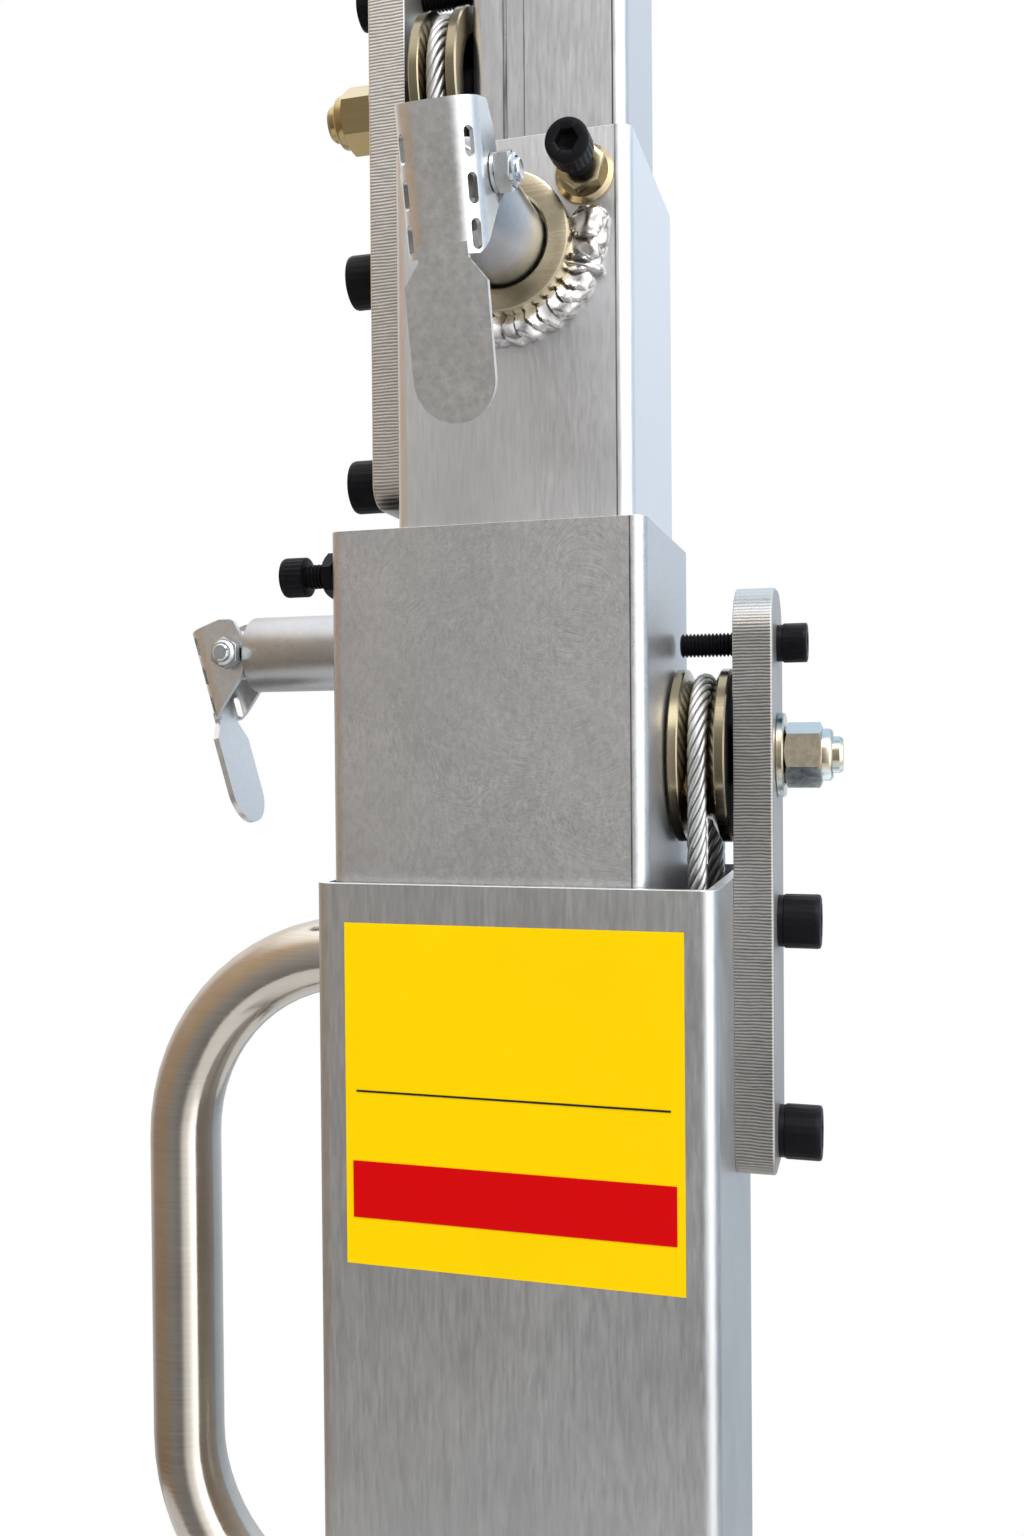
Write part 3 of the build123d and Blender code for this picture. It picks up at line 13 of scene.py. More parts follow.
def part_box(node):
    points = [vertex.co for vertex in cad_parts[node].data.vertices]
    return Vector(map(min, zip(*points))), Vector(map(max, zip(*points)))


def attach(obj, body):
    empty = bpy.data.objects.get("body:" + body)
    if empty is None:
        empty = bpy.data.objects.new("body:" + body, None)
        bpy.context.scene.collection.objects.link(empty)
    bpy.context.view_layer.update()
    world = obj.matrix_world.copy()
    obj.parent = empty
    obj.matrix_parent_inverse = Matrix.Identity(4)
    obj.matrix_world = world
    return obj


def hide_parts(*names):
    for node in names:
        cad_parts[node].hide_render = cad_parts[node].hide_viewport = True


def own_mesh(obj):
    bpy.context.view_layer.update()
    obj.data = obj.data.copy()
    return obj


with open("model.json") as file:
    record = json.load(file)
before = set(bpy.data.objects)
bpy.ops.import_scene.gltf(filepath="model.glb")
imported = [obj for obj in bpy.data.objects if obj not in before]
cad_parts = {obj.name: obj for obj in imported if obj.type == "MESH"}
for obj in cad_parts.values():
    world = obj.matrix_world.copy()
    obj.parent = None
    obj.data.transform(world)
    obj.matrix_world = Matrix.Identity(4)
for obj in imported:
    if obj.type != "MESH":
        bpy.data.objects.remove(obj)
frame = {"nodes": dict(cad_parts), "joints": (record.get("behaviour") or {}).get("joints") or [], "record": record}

LOG = logging.getLogger("lifting_tower")
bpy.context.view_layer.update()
MM = 0.001
FULL_TURN = 2 * math.pi
UP = Vector((0.0, 0.0, 1.0))
RIGHT, LEFT, BACK, FRONT = (1, 0, 0), (-1, 0, 0), (0, 1, 0), (0, -1, 0)
IN_PLACE = Matrix.Identity(4)
POINT_RADIUS = 1e-6
MERGE_DISTANCE = 4e-6
SHARP_DEGREES = 32.0
BOLT_SIDES, SCREW_SIDES, COLLAR_SIDES, SHEAVE_SIDES = 48, 72, 96, 128
Colour = tuple[float, float, float]
Span = tuple[float, float]
Profile = Sequence[tuple[float, float]]
Socket = bpy.types.NodeSocket
JOINTS = {joint["name"]: joint for joint in frame["joints"]}
BODY_OF = {node: body for body, nodes in frame["record"]["behaviour"]["bodies"].items() for node in nodes}
SLOT_OF = {entry["node"]: entry["material_slot"] for entry in frame["record"]["subparts"]}


class Grain(Enum):
    """How a surface was worked."""
    UPRIGHT = "fine scratches up the piece"
    SWIRL = "curved sanding strokes"
    TOOLED = "lines left across a sawn edge"
    MOTTLED = "plated or dull all over"
    TURNED = "rings left by turning"


@dataclass(frozen=True)
class Fleck:
    """One layer of noise in a finish: flecks to the metre, detail, and a factor along each axis."""
    scale: float
    detail: float = 3.0
    factor: Colour = (1.0, 1.0, 1.0)


HAIRLINES = Fleck(1000.0, 2.0, (1.0, 1.0, 0.11))
BRUSH_BANDS = Fleck(220.0, 3.0, (1.0, 1.0, 0.02))
LINE_BREAKS = Fleck(160.0, 3.0, (1.0, 1.0, 0.2))
SANDING_ARCS = Fleck(700.0, 2.0)
SANDING_GRIT = Fleck(800.0, 2.0, (1.0, 1.0, 0.5))
SAW_CHATTER = Fleck(2100.0, 2.0, (0.12, 0.12, 1.0))
CRYSTALS = Fleck(1100.0, 4.0)
LATHE_RINGS = Fleck(1800.0, 2.0, (0.03, 0.03, 1.0))
DULL_PATCHES = Fleck(60.0)
METAL_CLOUD = Fleck(22.0, 5.0)
METAL_SPECKS = Fleck(900.0, 2.0)
COAT_CLOUD = Fleck(14.0, 5.0)
COAT_DUST = Fleck(70.0, 6.0)
SANDING_WANDER = {"Scale": 9.0, "Detail": 1.0}
SANDING_DRAW = (0.07, 1.0, 1.0)
SAW_WAVES = {"Scale": 300.0, "Distortion": 3.5, "Detail": 3.0, "Detail Scale": 0.35}
SAW_LEVEL = 0.68
SAW_FACE_SPAN, SAW_FACE_SHARES = (0.35, 0.6), (1.0, 0.12)
CRYSTAL_CELLS = 420.0
NOISE_ROUGHNESS = 0.6
MIX_COLOURS, MIX_RESULT = (6, 7), 2
MIDDLE_SPAN = (0.3, 0.7)
STREAK_SPAN, STREAK_ROUGH_SPAN = (0.75, 0.25), (0.2, 0.8)
ROUGH_SWING, PATCH_SWING = 0.07, 0.03
SPECK_SPAN, SPECK_SHADE = (0.72, 0.8), 0.35
DARK_SHADE = 0.1
PAINTED_LIGHT_START, PAINTED_LIGHT_FULL = 0.4, 0.7
PAINTED_SHADE_SPAN, PAINTED_SHADE_SHARE = (0.70, 0.93), 0.85
BREAK_SPAN, BREAK_SHARES = (0.35, 0.6), (0.6, 0.95)
COAT_CLOUD_SPAN, COAT_DUST_SPAN = (0.35, 0.65), (0.55, 0.75)
DUST_COLOUR = (0.4, 0.39, 0.37)


class Wiring:
    """Adds nodes to a tree and links them."""

    def __init__(self, tree: bpy.types.NodeTree) -> None:
        """Work on a tree."""
        self.tree = tree

    def add(self, kind: str, inputs: Optional[dict] = None, **settings: object) -> bpy.types.Node:
        """Add a node.

        Args:
            kind: the node's type name.
            inputs: socket name or index to a value or to another node's socket.
            settings: attributes of the node itself.

        Returns:
            The new node.
        """
        node = self.tree.nodes.new(kind)
        for key, value in settings.items():
            setattr(node, key, value)
        for key, value in (inputs or {}).items():
            self.feed(node.inputs[key], value)
        return node

    def feed(self, socket: Socket, value: object) -> None:
        """Set a socket to a value, or link another socket to it.

        Args:
            socket: the input to feed.
            value: a plain value, or the socket to link.
        """
        if isinstance(value, Socket):
            self.tree.links.new(value, socket)
        else:
            socket.default_value = value

    def maths(self, operation: str, *values: object) -> Socket:
        """One step of arithmetic on numbers or sockets."""
        return self.add("ShaderNodeMath", dict(enumerate(values)), operation=operation).outputs[0]


class Graph(Wiring):
    """Node tree of one material, built round its Principled shader."""

    def __init__(self, name: str) -> None:
        """Start an empty material.

        Args:
            name: the material's name.
        """
        self.material = bpy.data.materials.new(name)
        self.material.use_nodes = True
        super().__init__(self.material.node_tree)
        self.shader = self.tree.nodes["Principled BSDF"]

    def coords(self, factor: Colour = (1.0, 1.0, 1.0)) -> Socket:
        """Object coordinates in metres, times a factor along each axis."""
        source = self.add("ShaderNodeTexCoord").outputs["Object"]
        return self.add("ShaderNodeMapping", {"Vector": source, "Scale": factor}).outputs["Vector"]

    def noise(self, fleck: Fleck, vector: Optional[Socket] = None) -> Socket:
        """Soft noise between 0 and 1.

        Args:
            fleck: the layer's scale, detail and factor.
            vector: coordinates to read in place of the object's own.

        Returns:
            The noise.
        """
        if vector is None:
            vector = self.coords(fleck.factor)
        inputs = {"Vector": vector, "Scale": fleck.scale, "Detail": fleck.detail,
                  "Roughness": NOISE_ROUGHNESS}
        return self.add("ShaderNodeTexNoise", inputs).outputs["Fac"]

    def spread(self, value: Socket, span: Span, onto: Span = (0.0, 1.0)) -> Socket:
        """Map one span of a value onto another, and clamp it there."""
        names = ("Value", "From Min", "From Max", "To Min", "To Max")
        return self.add("ShaderNodeMapRange", dict(zip(names, (value, *span, *onto)))).outputs["Result"]

    def blend(self, first: Socket, second: Socket, share: float) -> Socket:
        """Two values added together, the first with that share of the whole."""
        rest = self.maths("MULTIPLY", second, 1.0 - share)
        return self.maths("ADD", self.maths("MULTIPLY", first, share), rest)

    def mix(self, share: object, first: object, second: object) -> Socket:
        """Mix two colours.

        Args:
            share: how much of the second, as a number or a socket.
            first: a colour or a socket.
            second: a colour or a socket.

        Returns:
            The mixed colour.
        """
        node = self.add("ShaderNodeMix", data_type="RGBA")
        self.feed(node.inputs[0], share)
        for index, value in zip(MIX_COLOURS, (first, second)):
            self.feed(node.inputs[index], (*value, 1.0) if isinstance(value, tuple) else value)
        return node.outputs[MIX_RESULT]

    def bump(self, height: Socket, depth: float) -> None:
        """Press a height between 0 and 1 into the surface, that many metres deep."""
        node = self.add("ShaderNodeBump", {"Height": height, "Distance": depth, "Strength": 1.0})
        self.tree.links.new(node.outputs["Normal"], self.shader.inputs["Normal"])

    def normal(self, axis: str) -> Socket:
        """One part of the surface's normal, from -1 to 1."""
        normal = self.add("ShaderNodeNewGeometry").outputs["Normal"]
        return self.add("ShaderNodeSeparateXYZ", {0: normal}).outputs[axis]


@dataclass(frozen=True)
class Metal:
    """A bare, plated or blackened metal.

    Colours are linear and depths in metres. Lines are dark marks up the front, each an X and a half
    width: die lines, and on the grooved tube painted shadow on the groove's left wall. The painted-shade
    attribute is low where shade is painted, between a rope's strands and in a weld's ripples. Painted
    light by facing holds the colours painted on faces that look up and on faces that look down, as
    painted highlights, reflections and shade.
    """
    name: str
    colour: Colour
    second: Colour
    roughness: float
    grain: Grain
    depth: float = 0.02 * MM
    metallic: float = 1.0
    speckle: float = 0.25
    contrast: float = 0.16
    shine: float = 0.5
    lines: tuple[Span, ...] = ()
    painted_shade_attribute: str = ""
    painted_light_by_facing: Optional[tuple[Colour, Colour]] = None

    def material(self) -> bpy.types.Material:
        """The finish as a Blender material, made once.

        Returns:
            The material of this name.
        """
        found = bpy.data.materials.get(self.name)
        if found:
            return found
        graph = Graph(self.name)
        makers = {Grain.UPRIGHT: self.upright, Grain.SWIRL: self.swirl, Grain.TOOLED: self.tooled,
                  Grain.MOTTLED: self.mottled, Grain.TURNED: self.turned}
        streaks = makers[self.grain](graph)
        cloud = graph.noise(METAL_CLOUD)
        tone = self.tone(graph, streaks, cloud)
        specks = graph.spread(graph.noise(METAL_SPECKS), SPECK_SPAN, (0.0, self.speckle))
        graph.feed(graph.shader.inputs["Base Color"], graph.mix(specks, tone, self.dimmed(SPECK_SHADE)))
        rough = graph.spread(streaks, STREAK_ROUGH_SPAN, (-ROUGH_SWING, ROUGH_SWING))
        rough = graph.maths("ADD", rough, self.roughness)
        rough = graph.maths("ADD", rough, graph.spread(cloud, MIDDLE_SPAN, (-PATCH_SWING, PATCH_SWING)))
        graph.feed(graph.shader.inputs["Roughness"], rough)
        graph.shader.inputs["Metallic"].default_value = self.metallic
        graph.shader.inputs["Specular IOR Level"].default_value = self.shine
        return graph.material

    def dimmed(self, share: float) -> Colour:
        """The metal's colour at a share of its brightness."""
        return tuple(share * part for part in self.colour)

    def tone(self, graph: Graph, streaks: Socket, cloud: Socket) -> Socket:
        """Colour with its clouds, streaks, painted light by facing, die lines, the groove's painted shadow and
        painted shade in hollows.

        Args:
            graph: the material's tree.
            streaks: the grain, between 0 and 1.
            cloud: broad noise between 0 and 1.

        Returns:
            The colour.
        """
        dark = self.dimmed(DARK_SHADE)
        tone = graph.mix(graph.spread(cloud, MIDDLE_SPAN), self.colour, self.second)
        tone = graph.mix(graph.spread(streaks, STREAK_SPAN, (0.0, self.contrast)), tone, dark)
        # Painted light: faces that look up or down get painted highlight, reflection and shade colours.
        if self.painted_light_by_facing:
            for way, colour in zip((1, -1), self.painted_light_by_facing):
                span = (way * PAINTED_LIGHT_START, way * PAINTED_LIGHT_FULL)
                tone = graph.mix(graph.spread(graph.normal("Z"), span), tone, colour)
        # Dark lines: die lines, and on the grooved tube painted shadow on the groove's left wall.
        for at, half in self.lines:
            tone = graph.mix(self.die_line_and_painted_shadow(graph, at, half), tone, dark)
        # Painted shade: darker where the attribute is low, between rope strands and in weld ripples.
        if self.painted_shade_attribute:
            proud = graph.add("ShaderNodeAttribute", attribute_name=self.painted_shade_attribute).outputs["Fac"]
            tone = graph.mix(graph.spread(proud, PAINTED_SHADE_SPAN, (PAINTED_SHADE_SHARE, 0.0)), tone, dark)
        return tone

    def die_line_and_painted_shadow(self, graph: Graph, at: float, half: float) -> Socket:
        """Thin dark line up the front of a tube: a die line, and on the grooved tube's groove wall a painted
        shadow.

        Args:
            graph: the material's tree.
            at: the line's X.
            half: half of its width.

        Returns:
            Its share, 1 on the line and 0 beside it.
        """
        across = graph.add("ShaderNodeSeparateXYZ", {0: graph.coords()}).outputs["X"]
        away = graph.maths("ABSOLUTE", graph.maths("SUBTRACT", across, at))
        broken = graph.spread(graph.noise(LINE_BREAKS), BREAK_SPAN, BREAK_SHARES)
        return graph.maths("MULTIPLY", graph.spread(away, (0.5 * half, half), (1.0, 0.0)), broken)

    def upright(self, graph: Graph) -> Socket:
        """Drawn and brushed tube: hairlines and broader bands along its length.

        Args:
            graph: the material's tree.

        Returns:
            The grain, between 0 and 1.
        """
        hair = graph.noise(HAIRLINES)
        graph.bump(hair, self.depth)
        return graph.blend(hair, graph.noise(BRUSH_BANDS), share=0.8)

    def swirl(self, graph: Graph) -> Socket:
        """Hand-sanded tube: arcs that cross each other.

        Args:
            graph: the material's tree.

        Returns:
            The grain, between 0 and 1.
        """
        wander = graph.add("ShaderNodeTexNoise", {"Vector": graph.coords(), **SANDING_WANDER})
        bent = graph.add("ShaderNodeVectorMath", {0: graph.coords(), 1: wander.outputs["Color"]},
                         operation="ADD").outputs[0]
        drawn = graph.add("ShaderNodeMapping", {"Vector": bent, "Scale": SANDING_DRAW})
        arcs = graph.noise(SANDING_ARCS, drawn.outputs["Vector"])
        graph.bump(arcs, self.depth)
        return graph.blend(arcs, graph.noise(SANDING_GRIT), share=0.6)

    def tooled(self, graph: Graph) -> Socket:
        """Sawn bar: wavy lines across its edges, faint ones on the faces towards X.

        Args:
            graph: the material's tree.

        Returns:
            The grain, between 0 and 1.
        """
        waves = {"Vector": graph.coords(), **SAW_WAVES}
        wave = graph.add("ShaderNodeTexWave", waves, bands_direction="Z").outputs["Fac"]
        lines = graph.blend(wave, graph.noise(SAW_CHATTER), share=0.55)
        facing = graph.maths("ABSOLUTE", graph.normal("X"))
        edge = graph.spread(facing, SAW_FACE_SPAN, SAW_FACE_SHARES)
        marks = graph.maths("MULTIPLY_ADD", graph.maths("SUBTRACT", lines, SAW_LEVEL), edge, SAW_LEVEL)
        graph.bump(marks, self.depth)
        return marks

    def mottled(self, graph: Graph) -> Socket:
        """Plated steel: a fine crystal pattern with dull patches.

        Args:
            graph: the material's tree.

        Returns:
            The grain, between 0 and 1.
        """
        cells = graph.add("ShaderNodeTexVoronoi", {"Vector": graph.coords(), "Scale": CRYSTAL_CELLS})
        grit = graph.noise(CRYSTALS)
        graph.bump(grit, self.depth)
        return graph.blend(grit, cells.outputs["Distance"], share=0.7)

    def turned(self, graph: Graph) -> Socket:
        """Polished or turned bar: short scratches round it.

        Args:
            graph: the material's tree.

        Returns:
            The grain, between 0 and 1.
        """
        rings = graph.noise(LATHE_RINGS)
        graph.bump(rings, self.depth)
        return graph.blend(rings, graph.noise(DULL_PATCHES), share=0.7)


@dataclass(frozen=True)
class Coating:
    """Paint, plastic, rubber, nylon or vinyl; pebbles to the metre, depths in metres."""
    name: str
    colour: Colour
    roughness: float
    pebble_scale: float
    pebble_depth: float
    wear: float = 0.12
    cloud: float = 0.2
    shine: float = 0.5

    def material(self) -> bpy.types.Material:
        """The finish as a Blender material, made once.

        Returns:
            The material of this name.
        """
        found = bpy.data.materials.get(self.name)
        if found:
            return found
        graph = Graph(self.name)
        pebble = graph.noise(Fleck(self.pebble_scale))
        light = tuple(min(1.0, part * (1 + self.cloud)) for part in self.colour)
        dark = tuple(part * (1 - self.cloud) for part in self.colour)
        tone = graph.mix(graph.spread(graph.noise(COAT_CLOUD), COAT_CLOUD_SPAN), dark, light)
        dust = graph.spread(graph.noise(COAT_DUST), COAT_DUST_SPAN, (0.0, self.wear))
        graph.feed(graph.shader.inputs["Base Color"], graph.mix(dust, tone, DUST_COLOUR))
        rough = (self.roughness - ROUGH_SWING, self.roughness + ROUGH_SWING)
        graph.feed(graph.shader.inputs["Roughness"], graph.spread(pebble, MIDDLE_SPAN, rough))
        graph.shader.inputs["Specular IOR Level"].default_value = self.shine
        graph.bump(pebble, self.pebble_depth)
        return graph.material


def grey(level: float) -> Colour:
    """Neutral colour of one brightness."""
    return (level, level, level)


# The tubes' faces and rims that look up are painted near white as a painted highlight.
TUBE = Metal("brushed_tube", grey(0.56), grey(0.59), 0.38, Grain.UPRIGHT, contrast=0.2,
             painted_light_by_facing=((0.95, 0.95, 0.96), grey(0.55)))
SANDED = Metal("sanded_tube", grey(0.63), grey(0.67), 0.40, Grain.SWIRL, contrast=0.36,
               painted_light_by_facing=(grey(0.98), grey(0.63)), lines=((37.7 * MM, 0.32 * MM),))
DRAWN = Metal("drawn_tube", (0.71, 0.71, 0.72), (0.74, 0.74, 0.75), 0.36, Grain.UPRIGHT, 0.012 * MM,
              contrast=0.1, lines=((33.2 * MM, 0.32 * MM),))
# The grooved tube's first line, at -5.7 mm, is painted shadow on the groove's left wall.
GROOVED = Metal("grooved_tube", (0.53, 0.53, 0.54), (0.57, 0.57, 0.58), 0.36, Grain.UPRIGHT, 0.012 * MM,
                contrast=0.1, lines=((-5.7 * MM, 0.8 * MM), (0.7 * MM, 0.35 * MM), (29.3 * MM, 0.32 * MM)))
# The sawn bar's faces that look up get a painted bluish sky reflection.
DARK_BAR = Metal("sawn_bar", (0.39, 0.37, 0.345), (0.45, 0.435, 0.415), 0.40, Grain.TOOLED, 0.07 * MM,
                 speckle=0.4, contrast=0.6, painted_light_by_facing=((0.38, 0.405, 0.43), (0.41, 0.39, 0.36)))
PALE_BAR = Metal("milled_bar", (0.70, 0.66, 0.61), (0.76, 0.73, 0.69), 0.40, Grain.TOOLED, 0.07 * MM,
                 speckle=0.4, contrast=0.6)
ZINC = Metal("dull_zinc", (0.68, 0.67, 0.66), (0.74, 0.74, 0.73), 0.36, Grain.MOTTLED)
GREY_ZINC = Metal("grey_zinc", (0.44, 0.45, 0.46), (0.54, 0.54, 0.55), 0.33, Grain.MOTTLED)
BLUE_ZINC = Metal("bright_zinc", (0.60, 0.64, 0.67), (0.50, 0.49, 0.44), 0.17, Grain.MOTTLED, 0.01 * MM)
# The warm zinc's faces that look up get a painted dark reflection, and those that look down a painted bright one.
WARM_ZINC = Metal("warm_zinc", (0.66, 0.58, 0.44), (0.52, 0.46, 0.36), 0.22, Grain.MOTTLED, 0.01 * MM,
                  painted_light_by_facing=((0.27, 0.35, 0.40), (0.9, 1.0, 1.0)))
COLLAR_ZINC = Metal("pale_yellow_zinc", (0.60, 0.50, 0.33), (0.53, 0.47, 0.34), 0.26, Grain.TURNED,
                    0.012 * MM)
GOLD_ZINC = Metal("gold_zinc", (0.48, 0.38, 0.21), (0.40, 0.34, 0.22), 0.19, Grain.MOTTLED, 0.012 * MM)
YELLOW_ZINC = Metal("yellow_zinc", (0.48, 0.35, 0.14), (0.43, 0.35, 0.20), 0.22, Grain.TURNED, 0.012 * MM)
OLIVE_ZINC = Metal("olive_zinc", (0.35, 0.27, 0.18), (0.25, 0.24, 0.16), 0.20, Grain.TURNED, 0.012 * MM)
BLACK = Metal("black_oxide", (0.004, 0.004, 0.005), (0.007, 0.007, 0.009), 0.40, Grain.MOTTLED,
              metallic=0.0, speckle=0.1, shine=0.09)
STAINLESS = Metal("satin_stainless", (0.58, 0.52, 0.45), (0.64, 0.60, 0.54), 0.15, Grain.TURNED, 0.01 * MM)
STEEL = Metal("turned_steel", grey(0.50), grey(0.57), 0.33, Grain.TURNED, 0.01 * MM)
# Wire and weld are darkened where they lie low, between strands and in ripples, as painted shade.
WIRE = Metal("rope_wire", grey(0.44), (0.54, 0.54, 0.53), 0.46, Grain.MOTTLED, painted_shade_attribute="proud")
WELD = Metal("weld_bead", (0.56, 0.56, 0.57), (0.40, 0.36, 0.32), 0.22, Grain.MOTTLED, speckle=0.3,
             painted_shade_attribute="proud")
PAINT = Coating("grey_powder_coat", (0.10, 0.105, 0.11), 0.45, 900.0, 0.03 * MM)
PLASTIC = Coating("black_plastic", (0.016, 0.016, 0.017), 0.5, 1500.0, 0.03 * MM, wear=0.05)
RUBBER = Coating("wheel_rubber", grey(0.02), 0.75, 700.0, 0.04 * MM, wear=0.25)
NYLON = Coating("natural_nylon", (0.72, 0.70, 0.64), 0.45, 600.0, 0.02 * MM, wear=0.1)
FLOOR = Coating("pale_floor", grey(0.52), 0.7, 40.0, 0.02 * MM, wear=0.0, cloud=0.02)
YELLOW_VINYL = Coating("yellow_vinyl", (0.72, 0.48, 0.0), 0.45, 2200.0, 0.01 * MM, 0.0, 0.02, 0.07)
RED_VINYL = Coating("red_vinyl", (0.47, 0.001, 0.002), 0.45, 2200.0, 0.01 * MM, 0.0, 0.02, 0.07)
BLACK_VINYL = Coating("black_vinyl", grey(0.012), 0.45, 2200.0, 0.01 * MM, 0.0, 0.02, 0.15)
Finish = Metal | Coating


def axes(origin: Sequence[float], z_axis: Sequence[float],
         x_axis: Optional[Sequence[float]] = None) -> Matrix:
    """Matrix that puts local Z along an axis at a point.

    Args:
        origin: where the local origin goes.
        z_axis: direction of local Z.
        x_axis: direction near local X; any square one if left out.

    Returns:
        The placing matrix.
    """
    nearly_upright = 0.9
    z = Vector(z_axis).normalized()
    if x_axis is None:
        x_axis = UP if abs(z.z) < nearly_upright else RIGHT
    y = z.cross(Vector(x_axis)).normalized()
    x = y.cross(z)
    turn = Matrix((x, y, z)).transposed().to_4x4()
    return Matrix.Translation(Vector(origin)) @ turn


def raised(place: Matrix, height: float, degrees: float = 0.0) -> Matrix:
    """A place moved along its own Z and turned about it."""
    return place @ Matrix.Translation((0, 0, height)) @ Matrix.Rotation(math.radians(degrees), 4, "Z")


def round_angles(sides: int) -> list[float]:
    """Angles of points set evenly round a circle."""
    return [FULL_TURN * k / sides for k in range(sides)]


def hexagon_reach(flats: float, angles: Sequence[float]) -> list[float]:
    """Distance from a hexagon's middle to its side at each angle."""
    sixth, twelfth = math.pi / 3, math.pi / 6
    return [flats / 2 / math.cos((a + twelfth) % sixth - twelfth) for a in angles]


def in_mm(profile: Profile) -> list[tuple[float, float]]:
    """A profile given in millimetres, in metres."""
    return [(radius * MM, height * MM) for radius, height in profile]


def dress(piece: bpy.types.Object, body: str, slot: str, *stands_for: str) -> bpy.types.Object:
    """Ride a finished piece on a body.

    Args:
        piece: the object, already in its place.
        body: the body that carries it.
        slot: the record's material slot; not used.
        stands_for: nodes that it is shown in place of.

    Returns:
        The same object.
    """
    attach(piece, body)
    if stands_for:
        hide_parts(*stands_for)
    LOG.info("%s rides on %s", piece.name, body)
    return piece


class Builder:
    """Collects closed shapes in one mesh.

    A row of a screw's head says how many edge widths it is let in, the share of the height that it
    stands at, the edge widths above that, and whether it has the ribs.
    """

    flat_share = 0.97
    chamfer_degrees = 28
    screw_sides = 96
    screw_edge = 0.07
    screw_rows = ((1.0, 0.0, 0.0, False), (0.3, 0.0, 0.3, False), (0.0, 0.0, 1.0, True),
                  (0.0, 0.80, 0.0, True), (0.0, 0.82, 0.0, False), (0.0, 1.0, -1.6, False),
                  (0.4, 1.0, -0.5, False), (1.6, 1.0, 0.0, False))
    socket_mouth = 1.22
    socket_flare = 1.04
    socket_depth = 0.45
    drill_point = 1.25
    thread_sides = 32
    thread_depth = 0.55
    thread_ridge = ((0.05, False), (0.42, True), (0.58, True), (0.95, False))

    def __init__(self) -> None:
        """Start an empty mesh."""
        self.mesh = bmesh.new()

    def rings(self, place: Matrix, rings: Sequence[Sequence[Sequence[float]]],
              closed: bool = False) -> None:
        """Skin a row of equal rings.

        Args:
            place: where the rings' own frame goes.
            rings: points of each ring, in order.
            closed: join the last ring to the first instead of capping both.
        """
        rows = [[self.mesh.verts.new(place @ Vector(point)) for point in ring] for ring in rings]
        pairs = list(zip(rows, rows[1:] + rows[:1])) if closed else list(zip(rows, rows[1:]))
        for low, high in pairs:
            for k in range(len(low)):
                after = (k + 1) % len(low)
                self.mesh.faces.new((low[k], low[after], high[after], high[k]))
        if not closed:
            self.mesh.faces.new(list(reversed(rows[0])))
            self.mesh.faces.new(rows[-1])

    def lathe(self, place: Matrix, profile: Profile, sides: int, closed: bool = False) -> None:
        """Turn a profile about local Z.

        Args:
            place: where the profile's own frame goes.
            profile: (radius, height) points.
            sides: points round it.
            closed: join the last point to the first instead of capping both.
        """
        angles = round_angles(sides)
        sizes = [(max(radius, POINT_RADIUS), height) for radius, height in profile]
        rings = [[(r * math.cos(a), r * math.sin(a), h) for a in angles] for r, h in sizes]
        self.rings(place, rings, closed)

    def hexagon(self, place: Matrix, flats: float, height: float, bore: float = 0.0) -> None:
        """Nut or bolt head with chamfered corners.

        Args:
            place: seat of the nut, local Z out of it.
            flats: width across flats.
            height: its height.
            bore: radius of its hole, or 0 for a bolt head.
        """
        angles = round_angles(SCREW_SIDES)
        reach = hexagon_reach(flats, angles)
        flat_end = self.flat_share * flats / 2
        slope = math.tan(math.radians(self.chamfer_degrees))

        def cornered(heights: Sequence[float]) -> list[tuple[float, float, float]]:
            """Points round the nut's sides, each at its own height."""
            return [(s * math.cos(a), s * math.sin(a), h) for s, a, h in zip(reach, angles, heights)]

        def ring(size: float, level: float) -> list[tuple[float, float, float]]:
            """Round ring at one height."""
            return [(size * math.cos(a), size * math.sin(a), level) for a in angles]

        drop = [(r - flat_end) * slope for r in reach]
        rings = [ring(flat_end, 0.0), cornered(drop), cornered([height - d for d in drop]),
                 ring(flat_end, height)]
        if bore:
            rings = [ring(bore, 0.0), *rings, ring(bore, height)]
        self.rings(place, rings, closed=bool(bore))

    def cap_screw(self, place: Matrix, radius: float, height: float, socket: float, knurl: float) -> None:
        """Socket head: knurled side, rounded rim and a hexagonal socket.

        Args:
            place: seat of the head, local Z out of it.
            radius: the head's radius.
            height: the head's height.
            socket: width across the socket's flats.
            knurl: depth of the ribs round its side.
        """
        angles = round_angles(self.screw_sides)
        hexes = hexagon_reach(socket, angles)
        edge, floor = self.screw_edge * radius, self.socket_depth * height

        def ring(size: float, level: float, rib: float = 0.0) -> list[tuple[float, float, float]]:
            """Round ring, with every other pair of points let in by the rib."""
            sizes = [size - (rib if (k // 2) % 2 else 0.0) for k in range(self.screw_sides)]
            return [(s * math.cos(a), s * math.sin(a), level) for s, a in zip(sizes, angles)]

        def hexed(share: float, level: float) -> list[tuple[float, float, float]]:
            """Ring along the socket's sides, times a share."""
            sizes = [share * reach for reach in hexes]
            return [(s * math.cos(a), s * math.sin(a), level) for s, a in zip(sizes, angles)]

        side = [ring(radius - inset * edge, share * height + rise * edge, knurl if ribbed else 0.0)
                for inset, share, rise, ribbed in self.screw_rows]
        hole = [ring(self.socket_mouth * socket / 2, height), hexed(self.socket_flare, height - 0.4 * edge),
                hexed(1.0, height - edge), hexed(1.0, height - floor),
                ring(POINT_RADIUS, height - self.drill_point * floor)]
        self.rings(place, side + hole)

